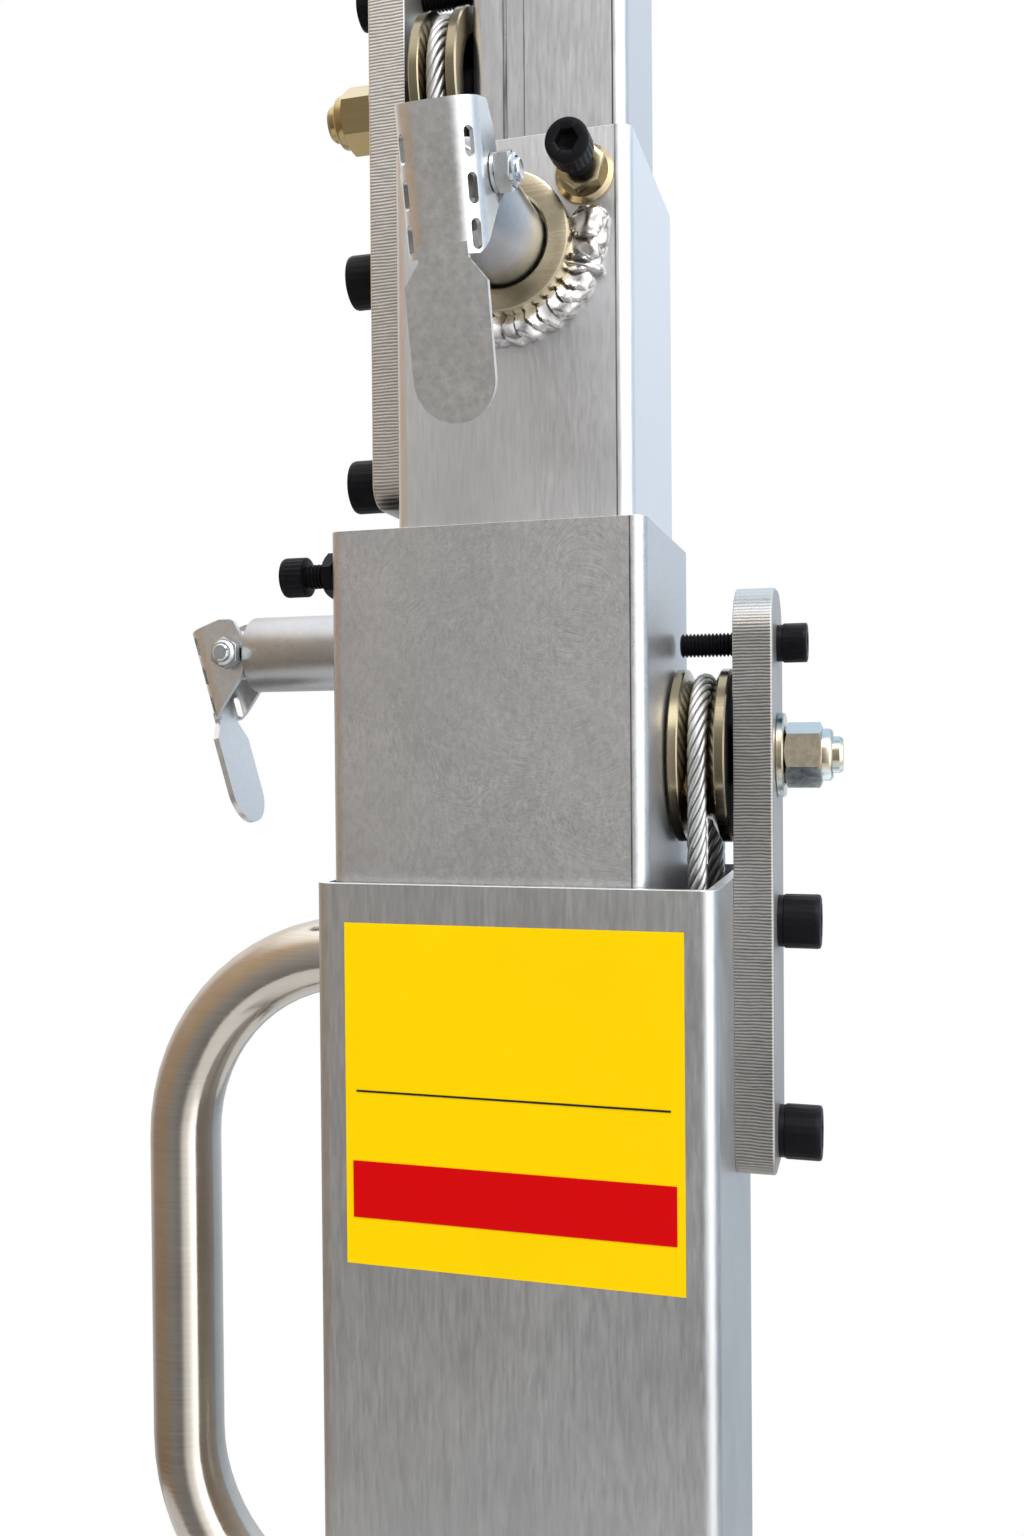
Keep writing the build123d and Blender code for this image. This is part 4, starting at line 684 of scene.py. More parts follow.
    def thread(self, place: Matrix, radius: float, length: float, pitch: float) -> None:
        """Threaded rod: a ridge for every pitch along it.

        Args:
            place: foot of the rod, local Z along it.
            radius: radius over the ridges.
            length: the rod's length.
            pitch: distance from ridge to ridge.
        """
        core = radius - self.thread_depth * pitch
        profile = [(0.0, 0.0), (core, 0.0)]
        for k in range(int(length / pitch)):
            profile += [(radius if crest else core, k * pitch + share * pitch)
                        for share, crest in self.thread_ridge]
        profile += [(core, length), (0.0, length)]
        self.lathe(place, profile, self.thread_sides)

    def pipe(self, points: Sequence[Vector], radius: float, sides: int) -> None:
        """Round bar along points, kept from twisting.

        Args:
            points: its middle line.
            radius: the bar's radius.
            sides: points round it.
        """
        angles = round_angles(sides)
        side = (points[1] - points[0]).normalized().orthogonal().normalized()
        rings = []
        for k, point in enumerate(points):
            before, after = points[max(k - 1, 0)], points[min(k + 1, len(points) - 1)]
            heading = (after - before).normalized()
            side = (side - heading * side.dot(heading)).normalized()
            other = heading.cross(side)
            rings.append([point + (side * math.cos(a) + other * math.sin(a)) * radius for a in angles])
        self.rings(IN_PLACE, rings)

    def slab(self, low: Sequence[float], high: Sequence[float]) -> None:
        """Box between two corners.

        Args:
            low: the corner with the lowest numbers.
            high: the corner opposite to it.
        """
        x0, y0, z0 = low
        x1, y1, z1 = high
        self.rings(IN_PLACE, [[(x0, y0, z), (x1, y0, z), (x1, y1, z), (x0, y1, z)] for z in (z0, z1)])

    def piece(self, name: str, finish: Finish, sharp: float = SHARP_DEGREES) -> bpy.types.Object:
        """Close the mesh and make an object of it.

        Args:
            name: the object's name.
            finish: its finish.
            sharp: degrees between faces above which an edge stays sharp.

        Returns:
            The new object at the origin.
        """
        bmesh.ops.remove_doubles(self.mesh, verts=self.mesh.verts, dist=MERGE_DISTANCE)
        bmesh.ops.recalc_face_normals(self.mesh, faces=self.mesh.faces)
        mesh = bpy.data.meshes.new(name)
        self.mesh.to_mesh(mesh)
        self.mesh.free()
        return place_mesh(mesh, name, finish, sharp)


def place_mesh(mesh: bpy.types.Mesh, name: str, finish: Finish,
               sharp: float = SHARP_DEGREES) -> bpy.types.Object:
    """Object for a finished mesh, smooth apart from its sharp edges.

    Args:
        mesh: the mesh, already in its place.
        name: the object's name.
        finish: its finish.
        sharp: degrees between faces above which an edge stays sharp.

    Returns:
        The new object at the origin.
    """
    mesh.name = name
    mesh.polygons.foreach_set("use_smooth", [True] * len(mesh.polygons))
    mesh.set_sharp_from_angle(angle=math.radians(sharp))
    mesh.materials.clear()
    mesh.materials.append(finish.material())
    piece = bpy.data.objects.new(name, mesh)
    bpy.context.scene.collection.objects.link(piece)
    return piece


def soften(node: str, name: str, finish: Finish, edge: float) -> bpy.types.Object:
    """Copy of a node with its edges broken, shown in its place.

    Args:
        node: the node to copy.
        name: the piece's name.
        finish: its finish.
        edge: width of the broken edge in metres.

    Returns:
        The piece, riding on the node's body.
    """
    flat = math.radians(0.5)
    mesh = bmesh.new()
    mesh.from_mesh(frame["nodes"][node].data)
    bmesh.ops.remove_doubles(mesh, verts=mesh.verts, dist=MERGE_DISTANCE)
    bmesh.ops.dissolve_limit(mesh, angle_limit=flat, verts=mesh.verts, edges=mesh.edges)
    data = bpy.data.meshes.new(name)
    mesh.to_mesh(data)
    mesh.free()
    piece = place_mesh(data, name, finish)
    bevel = piece.modifiers.new("broken_edges", "BEVEL")
    bevel.width = edge
    bevel.segments = 2
    bevel.limit_method = "ANGLE"
    bevel.angle_limit = math.radians(SHARP_DEGREES)
    flats = piece.modifiers.new("flat_faces", "WEIGHTED_NORMAL")
    flats.weight = 100
    flats.keep_sharp = True
    return dress(piece, BODY_OF[node], SLOT_OF[node], node)


def paint(finish: Finish, *nodes: str) -> None:
    """Give nodes that keep their own shape a finish.

    Args:
        finish: the finish.
        nodes: the nodes' names.
    """
    for node in nodes:
        materials = frame["nodes"][node].data.materials
        materials.clear()
        materials.append(finish.material())
        LOG.info("%s keeps its own shape", node)


class ShapeTree(Wiring):
    """Geometry Nodes tree with named inputs."""

    def __init__(self, name: str) -> None:
        """Start a tree with a geometry in and out.

        Args:
            name: the tree's name.
        """
        super().__init__(bpy.data.node_groups.new(name, "GeometryNodeTree"))
        for way in ("INPUT", "OUTPUT"):
            self.tree.interface.new_socket("Geometry", in_out=way, socket_type="NodeSocketGeometry")
        self.source = self.tree.nodes.new("NodeGroupInput")
        self.result = self.tree.nodes.new("NodeGroupOutput")
        self.here = self.add("GeometryNodeInputPosition").outputs[0]

    def value(self, name: str, kind: str = "NodeSocketFloat") -> Socket:
        """Add a named input and give its socket inside the tree."""
        self.tree.interface.new_socket(name, in_out="INPUT", socket_type=kind)
        return self.source.outputs[name]

    def scaled(self, vector: Socket, by: Socket) -> Socket:
        """A vector times a number."""
        return self.add("ShaderNodeVectorMath", {0: vector, "Scale": by}, operation="SCALE").outputs[0]

    def vector(self, operation: str, *values: object) -> bpy.types.Node:
        """One step of arithmetic on vectors."""
        return self.add("ShaderNodeVectorMath", dict(enumerate(values)), operation=operation)

    def store(self, geometry: Socket, name: str, value: Socket, kind: str = "FLOAT") -> Socket:
        """Keep a value on every point.

        Args:
            geometry: the points.
            name: the name that it is kept under.
            value: the value.
            kind: its data type.

        Returns:
            The geometry with the value on it.
        """
        node = self.add("GeometryNodeStoreNamedAttribute", data_type=kind)
        for socket, content in (("Geometry", geometry), ("Name", name), ("Value", value)):
            self.feed(node.inputs[socket], content)
        return node.outputs[0]

    def stored(self, name: str, kind: str = "FLOAT") -> Socket:
        """A value that was kept under a name."""
        return self.add("GeometryNodeInputNamedAttribute", {"Name": name}, data_type=kind).outputs[0]

    def middle_line(self, step: object) -> Socket:
        """The incoming chain as a curve of even steps.

        Args:
            step: length of a step, as a number or a socket.

        Returns:
            The curve, with each point's own place kept on it as "middle".
        """
        line = self.add("GeometryNodeMeshToCurve", {0: self.source.outputs["Geometry"]})
        inputs = {"Curve": line.outputs[0], "Length": step}
        even = self.add("GeometryNodeResampleCurve", inputs, mode="LENGTH")
        return self.store(even.outputs[0], "middle", self.here, "FLOAT_VECTOR")

    def bar(self, curve: Socket, profile: bpy.types.Node, **sizes: Socket) -> Socket:
        """Closed bar along a curve, of a profile's shape."""
        inputs = {"Curve": curve, "Profile Curve": profile.outputs[0], "Fill Caps": True, **sizes}
        return self.add("GeometryNodeCurveToMesh", inputs).outputs[0]

    def close(self, geometry: Socket, material: Socket) -> None:
        """Realize, set the material and end the tree.

        Args:
            geometry: what the tree made.
            material: the material to set on it.
        """
        real = self.add("GeometryNodeRealizeInstances", {0: geometry})
        done = self.add("GeometryNodeSetMaterial", {"Geometry": real.outputs[0], "Material": material})
        self.tree.links.new(done.outputs[0], self.result.inputs[0])

    def run(self, carrier: bpy.types.Object, values: dict[str, object]) -> bpy.types.Mesh:
        """Run the tree on an object and keep the result as a plain mesh.

        Args:
            carrier: object whose geometry goes in; it is removed.
            values: input names to values.

        Returns:
            The mesh that came out.
        """
        items = self.tree.interface.items_tree
        sockets = {item.name: item.identifier for item in items if item.in_out == "INPUT"}
        modifier = carrier.modifiers.new("tree", "NODES")
        modifier.node_group = self.tree
        for name, value in values.items():
            modifier[sockets[name]] = value
        bpy.context.view_layer.update()
        graph = bpy.context.evaluated_depsgraph_get()
        mesh = bpy.data.meshes.new_from_object(carrier.evaluated_get(graph))
        carrier.modifiers.remove(modifier)
        bpy.data.objects.remove(carrier)
        return mesh


def point_carrier(points: Sequence[Vector], edges: bool = False) -> bpy.types.Object:
    """Object that holds points for a tree to work on.

    Args:
        points: where they are.
        edges: join them in a chain instead of leaving them loose.

    Returns:
        The object.
    """
    mesh = bpy.data.meshes.new("carrier")
    links = [(k, k + 1) for k in range(len(points) - 1)] if edges else []
    mesh.from_pydata([tuple(point) for point in points], links, [])
    carrier = bpy.data.objects.new("carrier", mesh)
    bpy.context.scene.collection.objects.link(carrier)
    return carrier


class RopeTree(ShapeTree):
    """Ridged strands laid round a core; sizes are shares of the rope's radius."""

    strands = 6
    strand_throw = 0.66
    core_radius = 0.5
    core_sides = 8
    wires = 8
    wire_valley = 0.335
    wire_crest = 0.355

    def __init__(self) -> None:
        """Build the tree."""
        super().__init__("laid_rope")
        radius = self.value("Rope radius")
        lay = self.value("Lay length")
        step = self.value("Step")
        lap = self.value("Lap")
        material = self.value("Material", "NodeSocketMaterial")
        path = self.middle_line(step)
        copies = self.add("GeometryNodeDuplicateElements", {"Geometry": path, "Amount": self.strands},
                          domain="SPLINE")
        along = self.add("GeometryNodeSplineParameter").outputs["Length"]
        share = self.maths("DIVIDE", copies.outputs["Duplicate Index"], float(self.strands))
        turns = self.maths("ADD", self.maths("DIVIDE", self.maths("SUBTRACT", along, lap), lay), share)
        offset = self.strand_offset(self.maths("MULTIPLY", turns, FULL_TURN), radius)
        moved = self.add("GeometryNodeSetPosition", {"Geometry": copies.outputs[0], "Offset": offset})
        ridged = self.add("GeometryNodeCurveStar", {
            "Points": self.wires, "Inner Radius": self.maths("MULTIPLY", radius, self.wire_valley),
            "Outer Radius": self.maths("MULTIPLY", radius, self.wire_crest)})
        plain = self.add("GeometryNodeCurvePrimitiveCircle", {
            "Resolution": self.core_sides, "Radius": self.maths("MULTIPLY", radius, self.core_radius)})
        both = self.add("GeometryNodeJoinGeometry")
        for part in (self.bar(path, plain), self.bar(moved.outputs[0], ridged)):
            self.tree.links.new(part, both.inputs[0])
        middle = self.stored("middle", "FLOAT_VECTOR")
        away = self.vector("DISTANCE", self.here, middle).outputs["Value"]
        # 'proud' is the distance from the middle line; the wire's material darkens low values as painted shade
        # between strands.
        self.close(self.store(both.outputs[0], "proud", self.maths("DIVIDE", away, radius)), material)

    def strand_offset(self, angle: Socket, radius: Socket) -> Socket:
        """How far a strand lies from the rope's middle line.

        Args:
            angle: the strand's turn about the line.
            radius: the rope's radius.

        Returns:
            The offset.
        """
        normal = self.add("GeometryNodeInputNormal").outputs[0]
        tangent = self.add("GeometryNodeInputTangent").outputs[0]
        other = self.vector("CROSS_PRODUCT", tangent, normal).outputs[0]
        throw = self.maths("MULTIPLY", radius, self.strand_throw)
        across = self.scaled(normal, self.maths("MULTIPLY", self.maths("COSINE", angle), throw))
        beside = self.scaled(other, self.maths("MULTIPLY", self.maths("SINE", angle), throw))
        return self.vector("ADD", across, beside).outputs[0]


class BeadTree(ShapeTree):
    """Weld bead: a flattened run along a path, with crescent ripples, lumps and tapered ends."""

    step = 0.4 * MM
    sides = 40
    taper_length = 0.16
    taper_end = 0.2
    lump_scale = 110.0
    grain_scale = 120.0
    ragged_scale = 210.0
    bow = 0.9
    wave_height = 0.26
    grain_height = 0.3
    flattening = 0.42
    raggedness = 0.8
    grain_seed = 5.0
    lump_slope, lump_base = 0.6, 0.7
    proud_slope, proud_base = 1.1, 0.7

    def __init__(self) -> None:
        """Build the tree."""
        super().__init__("weld_bead")
        width = self.value("Width")
        ripple = self.value("Ripple")
        outward = self.value("Outward", "NodeSocketVector")
        seed = self.value("Seed")
        material = self.value("Material", "NodeSocketMaterial")
        half = self.maths("MULTIPLY", width, 0.5)
        run = self.plain_run(half, seed)
        arm = self.vector("SUBTRACT", self.here, self.stored("middle", "FLOAT_VECTOR")).outputs[0]
        rise = self.vector("DOT_PRODUCT", arm, outward).outputs["Value"]
        side = self.vector("SUBTRACT", arm, self.scaled(outward, rise)).outputs[0]
        across = self.maths("DIVIDE", self.vector("LENGTH", side).outputs["Value"], half)
        bow = self.maths("MULTIPLY", self.maths("MULTIPLY", across, across), self.bow)
        grain = self.lumps(self.maths("ADD", seed, self.grain_seed), self.grain_scale)
        along = self.maths("DIVIDE", self.stored("along"), ripple)
        crest = self.maths("FRACT", self.maths("ADD", along, self.maths("ADD", bow, grain)))
        wave = self.maths("MULTIPLY", self.maths("SUBTRACT", crest, 0.5), self.wave_height)
        swell = self.maths("ADD", wave, self.maths("MULTIPLY", grain, self.grain_height))
        lift = self.maths("MULTIPLY", rise, self.maths("SUBTRACT", swell, self.flattening))
        uneven = self.maths("SUBTRACT", self.lumps(seed, self.ragged_scale), 0.5)
        ragged = self.maths("MULTIPLY", uneven, self.raggedness)
        shift = self.vector("ADD", self.scaled(outward, lift), self.scaled(side, ragged)).outputs[0]
        # 'proud' follows the ripple crests; the weld's material darkens the hollows by it as painted shade.
        proud = self.maths("MULTIPLY_ADD", crest, self.proud_slope, self.proud_base)
        lined = self.store(run, "proud", proud)
        moved = self.add("GeometryNodeSetPosition", {"Geometry": lined, "Offset": shift})
        self.close(moved.outputs[0], material)

    def plain_run(self, half: Socket, seed: Socket) -> Socket:
        """Round run of uneven thickness, thinner towards its ends.

        Args:
            half: half of the bead's width.
            seed: number that the lumps follow.

        Returns:
            The run, with each point's distance along it kept as "along".
        """
        spline = self.add("GeometryNodeSplineParameter")
        path = self.store(self.middle_line(self.step), "along", spline.outputs["Length"])
        share = spline.outputs["Factor"]
        end = self.maths("MINIMUM", share, self.maths("SUBTRACT", 1.0, share))
        inputs = {"Value": end, "From Max": self.taper_length, "To Min": self.taper_end}
        taper = self.add("ShaderNodeMapRange", inputs, interpolation_type="SMOOTHSTEP").outputs[0]
        uneven = self.lumps(seed, self.lump_scale)
        lumps = self.maths("MULTIPLY_ADD", uneven, self.lump_slope, self.lump_base)
        ring = self.add("GeometryNodeCurvePrimitiveCircle", {"Resolution": self.sides, "Radius": half})
        return self.bar(path, ring, Scale=self.maths("MULTIPLY", taper, lumps))

    def lumps(self, seed: Socket, scale: float) -> Socket:
        """Uneven values about 0.5, different for each seed."""
        inputs = {"Vector": self.here, "W": seed, "Scale": scale, "Detail": 1.0}
        return self.add("ShaderNodeTexNoise", inputs, noise_dimensions="4D").outputs["Fac"]


class FastenerTree(ShapeTree):
    """One screw or bolt head set on every point, standing along a direction."""

    def __init__(self) -> None:
        """Build the tree."""
        super().__init__("set_of_fasteners")
        pattern = self.value("Pattern", "NodeSocketObject")
        direction = self.value("Direction", "NodeSocketVector")
        material = self.value("Material", "NodeSocketMaterial")
        shape = self.add("GeometryNodeObjectInfo", {"Object": pattern})
        turn = self.add("FunctionNodeAlignRotationToVector", {"Vector": direction}, axis="Z")
        heads = self.add("GeometryNodeInstanceOnPoints", {
            "Points": self.source.outputs["Geometry"], "Instance": shape.outputs["Geometry"],
            "Rotation": turn.outputs[0]})
        self.close(heads.outputs[0], material)


def fasteners(tree: FastenerTree, pattern: bpy.types.Object, points: Sequence[Vector],
              direction: Sequence[float], name: str, finish: Finish) -> bpy.types.Object:
    """Set copies of a pattern on points.

    Args:
        tree: the tree that sets them.
        pattern: one fastener, standing on the origin along Z; it is removed.
        points: where each one stands.
        direction: the way that all of them point.
        name: name of the piece.
        finish: its finish.

    Returns:
        One object with all the copies.
    """
    values = {"Pattern": pattern, "Direction": tuple(direction), "Material": finish.material()}
    mesh = tree.run(point_carrier(points), values)
    bpy.data.objects.remove(pattern)
    return place_mesh(mesh, name, finish)


def weld(tree: BeadTree, points: Sequence[Vector], name: str, body: str, **sizes: object) -> None:
    """Lay a weld bead along points.

    Args:
        tree: the tree that lays it.
        points: its middle line.
        name: name of the piece.
        body: the body that carries it.
        sizes: the tree's inputs.
    """
    sharp = 60.0
    mesh = tree.run(point_carrier(points, edges=True), {**sizes, "Material": WELD.material()})
    dress(place_mesh(mesh, name, WELD, sharp), body, "mast_aluminium")


class BentPath:
    """Straight and round stretches, as closely set points."""

    arc_degrees = 6
    arc_least = 6

    def __init__(self, start: Sequence[float], step: float = 4.0 * MM) -> None:
        """Start at a point; step is the spacing of points on straight stretches."""
        self.points = [Vector(start)]
        self.step = step

    def line(self, end: Sequence[float]) -> "BentPath":
        """Go straight to a point.

        Args:
            end: the point.

        Returns:
            The same path.
        """
        start, stop = self.points[-1], Vector(end)
        count = max(1, round((stop - start).length / self.step))
        self.points += [start.lerp(stop, (k + 1) / count) for k in range(count)]
        return self

    def arc(self, centre: Sequence[float], axis: Sequence[float], degrees: float,
            drift: float = 0.0) -> "BentPath":
        """Go round a centre.

        Args:
            centre: the middle of the turn.
            axis: axis of the turn, by the right-hand rule.
            degrees: how far round.
            drift: distance moved along the axis on the way.

        Returns:
            The same path.
        """
        middle, spin = Vector(centre), Vector(axis).normalized()
        arm = self.points[-1] - middle
        count = max(self.arc_least, round(abs(degrees) / self.arc_degrees))
        for k in range(1, count + 1):
            share = k / count
            turn = Matrix.Rotation(math.radians(degrees) * share, 3, spin)
            self.points.append(middle + turn @ arm + spin * drift * share)
        return self


@dataclass
class WireRope:
    """The wire rope, in the stretches that the mast's tubes carry."""
    radius: float = 3.175 * MM
    lay: float = 28.5 * MM
    step: float = 2.4 * MM
    lap: float = 0.4 * MM
    sharp: float = 50.0
    guide_radius: float = 20.0 * MM
    guide_play: float = 0.3 * MM
    winding_turns: int = 4
    lift: float = 1.133

    def build(self) -> None:
        """Lay every stretch."""
        tree = RopeTree()
        tops = {n: Vector(JOINTS[f"sheave_{n}_turn"]["pos_m"]) for n in (1, 2, 3)}
        feet = {n: Vector(JOINTS[f"foot_sheave_{n}_turn"]["pos_m"]) for n in (2, 3)}
        runs = {n: self.run_ends(f"rope_run_{n}") for n in (2, 3, 4)}
        self.lay_stretch(tree, "rope_lead", self.lead(tops[1], runs[2][0]))
        for n, (high, low) in runs.items():
            rope = self.lay_stretch(tree, f"rope_run_{n}", BentPath(high + UP * self.lap).line(low))
            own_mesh(rope)
        spins = {2: BACK, 3: UP.cross(runs[3][1] - feet[3])}
        for n, spin in spins.items():
            loop = BentPath(runs[n][1]).arc(feet[n], spin, 180)
            loop.line((*loop.points[-1].xy, tops[n].z)).arc(tops[n], LEFT, 180)
            self.lay_stretch(tree, f"rope_loop_{n}", loop)

    def run_ends(self, node: str) -> tuple[Vector, Vector]:
        """Ends of a straight stretch's middle line.

        Args:
            node: the stretch's name.

        Returns:
            Its upper and its lower end.
        """
        low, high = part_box(node)
        middle = (low + high) / 2
        return Vector((middle.x, middle.y, high.z)), Vector((middle.x, middle.y, low.z))

    def lead(self, top: Vector, start: Vector) -> BentPath:
        """Path over the first sheave, down the mast, past the guide and round the drum.

        Args:
            top: the first sheave's middle.
            start: upper end of the run in the second mast.

        Returns:
            The path.
        """
        drum = Vector(JOINTS["winch_drum_turn"]["pos_m"])
        low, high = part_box("rope_lead")
        pitch = (high.y - drum.y) - self.radius
        path = BentPath(start - UP * self.lap).line(start).arc(top, LEFT, 180)
        lead_y = path.points[-1].y
        guide_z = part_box("rope_guide")[0].z + self.guide_radius - self.radius - self.guide_play
        guide = Vector((start.x, lead_y + self.guide_radius, guide_z))
        fall, back = guide.z - drum.z, drum.y - guide.y
        bend = math.atan2(back, fall) - math.asin((pitch - self.guide_radius) / math.hypot(fall, back))
        path.line((start.x, lead_y, guide.z)).arc(guide, RIGHT, math.degrees(bend))
        path.line((start.x, drum.y - pitch * math.cos(bend), drum.z - pitch * math.sin(bend)))
        drift = low.x + self.radius - start.x
        return path.arc((start.x, drum.y, drum.z), RIGHT, 360 * self.winding_turns, drift)

    def lay_stretch(self, tree: RopeTree, node: str, path: BentPath) -> bpy.types.Object:
        """Lay strands along one path and show them in place of the plain stretch.

        Args:
            tree: the tree that lays them.
            node: the plain stretch.
            path: its middle line.

        Returns:
            The laid stretch.
        """
        mesh = tree.run(point_carrier(path.points, edges=True), {
            "Rope radius": self.radius, "Lay length": self.lay, "Step": self.step, "Lap": self.lap,
            "Material": WIRE.material()})
        piece = place_mesh(mesh, f"{node}_strands", WIRE, self.sharp)
        return dress(piece, BODY_OF[node], "wire_rope", node)


@dataclass
class MastTubes:
    """The four tubes, their rims, the load plate and the plain plate on the outer tube.

    The plain plate and its marks are given as lowest X and Z and highest X and Z.
    """
    rims: tuple[float, ...] = (0.45 * MM, 0.9 * MM, 0.45 * MM, 0.15 * MM)
    load_plate_edge: float = 0.8 * MM
    plate: tuple[float, float, float, float] = (-53.1 * MM, 1280.5 * MM, 53.8 * MM, 1387.7 * MM)
    band: tuple[float, float, float, float] = (-50.7 * MM, 1295.2 * MM, 51.4 * MM, 1313.0 * MM)
    rule: tuple[float, float, float, float] = (-49.4 * MM, 1334.7 * MM, 49.7 * MM, 1335.3 * MM)
    vinyl: float = 0.18 * MM

    def build(self) -> None:
        """Dress the tubes."""
        for n, (finish, rim) in enumerate(zip((TUBE, SANDED, DRAWN, GROOVED), self.rims), 1):
            soften(f"mast_{n}_tube", f"mast_{n}_tube_brushed", finish, rim)
        soften("top_plate", "top_plate_machined", TUBE, self.load_plate_edge)
        self.plain_plate()

    def plain_plate(self) -> None:
        """Yellow plate with a red band and a thin black rule."""
        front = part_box("mast_1_tube")[0].y
        layers = (("plain_plate", self.plate, 0.0, YELLOW_VINYL),
                  ("plain_plate_band", self.band, self.vinyl, RED_VINYL),
                  ("plain_plate_rule", self.rule, self.vinyl, BLACK_VINYL))
        for name, (x0, z0, x1, z1), lift, finish in layers:
            sheet = Builder()
            sheet.slab((x0, front - lift - self.vinyl, z0), (x1, front - lift, z1))
            dress(sheet.piece(name, finish), "mast_1", "base_paint")


@dataclass
class PulleyHead:
    """Side plate with a sheave on its axle, two cap screws and a rope keeper.

    Profiles are in millimetres: radius, and height over the plate. The sheave's rim is measured from its
    flange and its side.
    """
    number: int
    zinc: Metal
    bar: Metal
    nut_turn: float
    plate_edge: float = 0.7 * MM
    screw_radius: float = 9.0 * MM
    screw_height: float = 12.0 * MM
    screw_socket: float = 10.0 * MM
    screw_knurl: float = 0.10 * MM
    screw_nut: tuple[float, float, float] = (18.0 * MM, 10.0 * MM, 3.2 * MM)
    keeper_radius: float = 6.5 * MM
    keeper_height: float = 8.0 * MM
    keeper_socket: float = 6.0 * MM
    keeper_knurl: float = 0.08 * MM
    keeper_thread: tuple[float, float] = (4.0 * MM, 1.25 * MM)
    keeper_reach: float = 19.2 * MM
    keeper_rise: float = 37.0 * MM
    spring_washer: float = 1.8 * MM
    washer_step: float = 0.4 * MM
    drops: tuple[float, float] = (55.0 * MM, 125.0 * MM)
    axle_washer: Profile = ((6.2, 0.0), (13.6, 0.0), (14.0, 0.4), (14.0, 2.1), (13.6, 2.5), (6.2, 2.5))
    axle_nut: tuple[float, float, float] = (19.0 * MM, 12.0 * MM, 2.5 * MM)
    axle_crown: Profile = ((0.0, 14.3), (8.6, 14.3), (8.6, 16.6), (8.3, 17.3), (7.6, 17.8), (6.3, 17.8),
                           (6.0, 17.4), (6.0, 20.0), (5.3, 21.0), (0.0, 21.0))
    spacer: tuple[float, float] = (6.2 * MM, 10.0 * MM)
    bolt_radius: float = 6.0 * MM
    bolt_head: tuple[float, float, float] = (11.0 * MM, 4.3 * MM, 0.4 * MM)
    bolt_play: float = 0.3 * MM
    pitch: float = 24.5 * MM
    groove: float = 3.55 * MM
    groove_steps: int = 8
    bore: float = 6.05 * MM
    recess: float = 21.0 * MM
    recess_depth: float = 5.0 * MM
    recess_draft: float = 0.6 * MM
    # Thickness and inset of the black painted-shade lining.
    painted_shade_film: float = 0.1 * MM
    painted_shade_margin: float = 1.5 * MM
    sheave_rim: Profile = ((-0.3, -3.5), (0.0, -3.1), (0.0, -0.5), (-0.5, 0.0))
    sheave_sharp: float = 25.0

    def __post_init__(self) -> None:
        """Find the head's place in the frame."""
        self.centre = Vector(JOINTS[f"sheave_{self.number}_turn"]["pos_m"])
        self.body = f"mast_{self.number}"
        low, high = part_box(f"head_{self.number}_plate")
        self.outward = Vector((math.copysign(1.0, low.x), 0.0, 0.0))
        self.outer = high.x if self.outward.x > 0 else low.x
        self.thickness = abs(high.x - low.x)
        low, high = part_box(f"sheave_{self.number}")
        self.half, self.flange = (high.x - low.x) / 2, (high.z - low.z) / 2

    def build(self, tree: FastenerTree) -> None:
        """Make the head's pieces.

        Args:
            tree: the tree that sets the screws.
        """
        plate = f"head_{self.number}_plate"
        soften(plate, f"{plate}_sawn", self.bar, self.plate_edge)
        self.make_screws(tree)
        self.make_keeper()
        self.make_axle()
        self.make_bolt()
        self.make_sheave()

    def on_plate(self, rise: float) -> Vector:
        """Point on the plate's outer face, that far above the axle."""
        return Vector((self.outer, self.centre.y, self.centre.z + rise))

    def screw_head(self, pattern: Builder, place: Matrix, radius: float, height: float, socket: float,
                   knurl: float) -> None:
        """Add a cap screw's head on its spring washer.

        Args:
            pattern: the mesh to add it to.
            place: seat of the washer, local Z out of it.
            radius: the head's radius.
            height: the head's height.
            socket: width across the socket's flats.
            knurl: depth of the ribs round the head.
        """
        washer, thick = radius - self.washer_step, self.spring_washer
        pattern.lathe(place, [(0.0, 0.0), (washer, 0.0), (washer, thick), (0.0, thick)], SCREW_SIDES)
        pattern.cap_screw(raised(place, thick), radius, height, socket, knurl)

    def make_screws(self, tree: FastenerTree) -> None:
        """Set the two cap screws.

        Args:
            tree: the tree that sets them.
        """
        pattern = Builder()
        self.screw_head(pattern, IN_PLACE, self.screw_radius, self.screw_height, self.screw_socket,
                        self.screw_knurl)
        points = [self.on_plate(-drop) for drop in self.drops]
        heads = fasteners(tree, pattern.piece("cap_screw", BLACK), points, self.outward,
                          f"head_{self.number}_cap_screws", BLACK)
        dress(heads, self.body, "black_screws", f"head_{self.number}_screws")

    def make_keeper(self) -> None:
        """Rope keeper with its thread showing over the rope, and the nuts behind the plate."""
        keeper = Builder()
        at = self.on_plate(self.keeper_rise)
        self.screw_head(keeper, axes(at, self.outward), self.keeper_radius, self.keeper_height,
                        self.keeper_socket, self.keeper_knurl)
        length = self.thickness + self.keeper_reach
        radius, pitch = self.keeper_thread
        keeper.thread(axes(at - self.outward * length, self.outward), radius, length, pitch)
        flats, height, gap = self.screw_nut
        for drop in self.drops:
            seat = self.on_plate(-drop) - self.outward * (self.thickness + gap)
            keeper.hexagon(axes(seat, -self.outward), flats, height)
        dress(keeper.piece(f"head_{self.number}_keeper", BLACK), self.body, "black_screws")

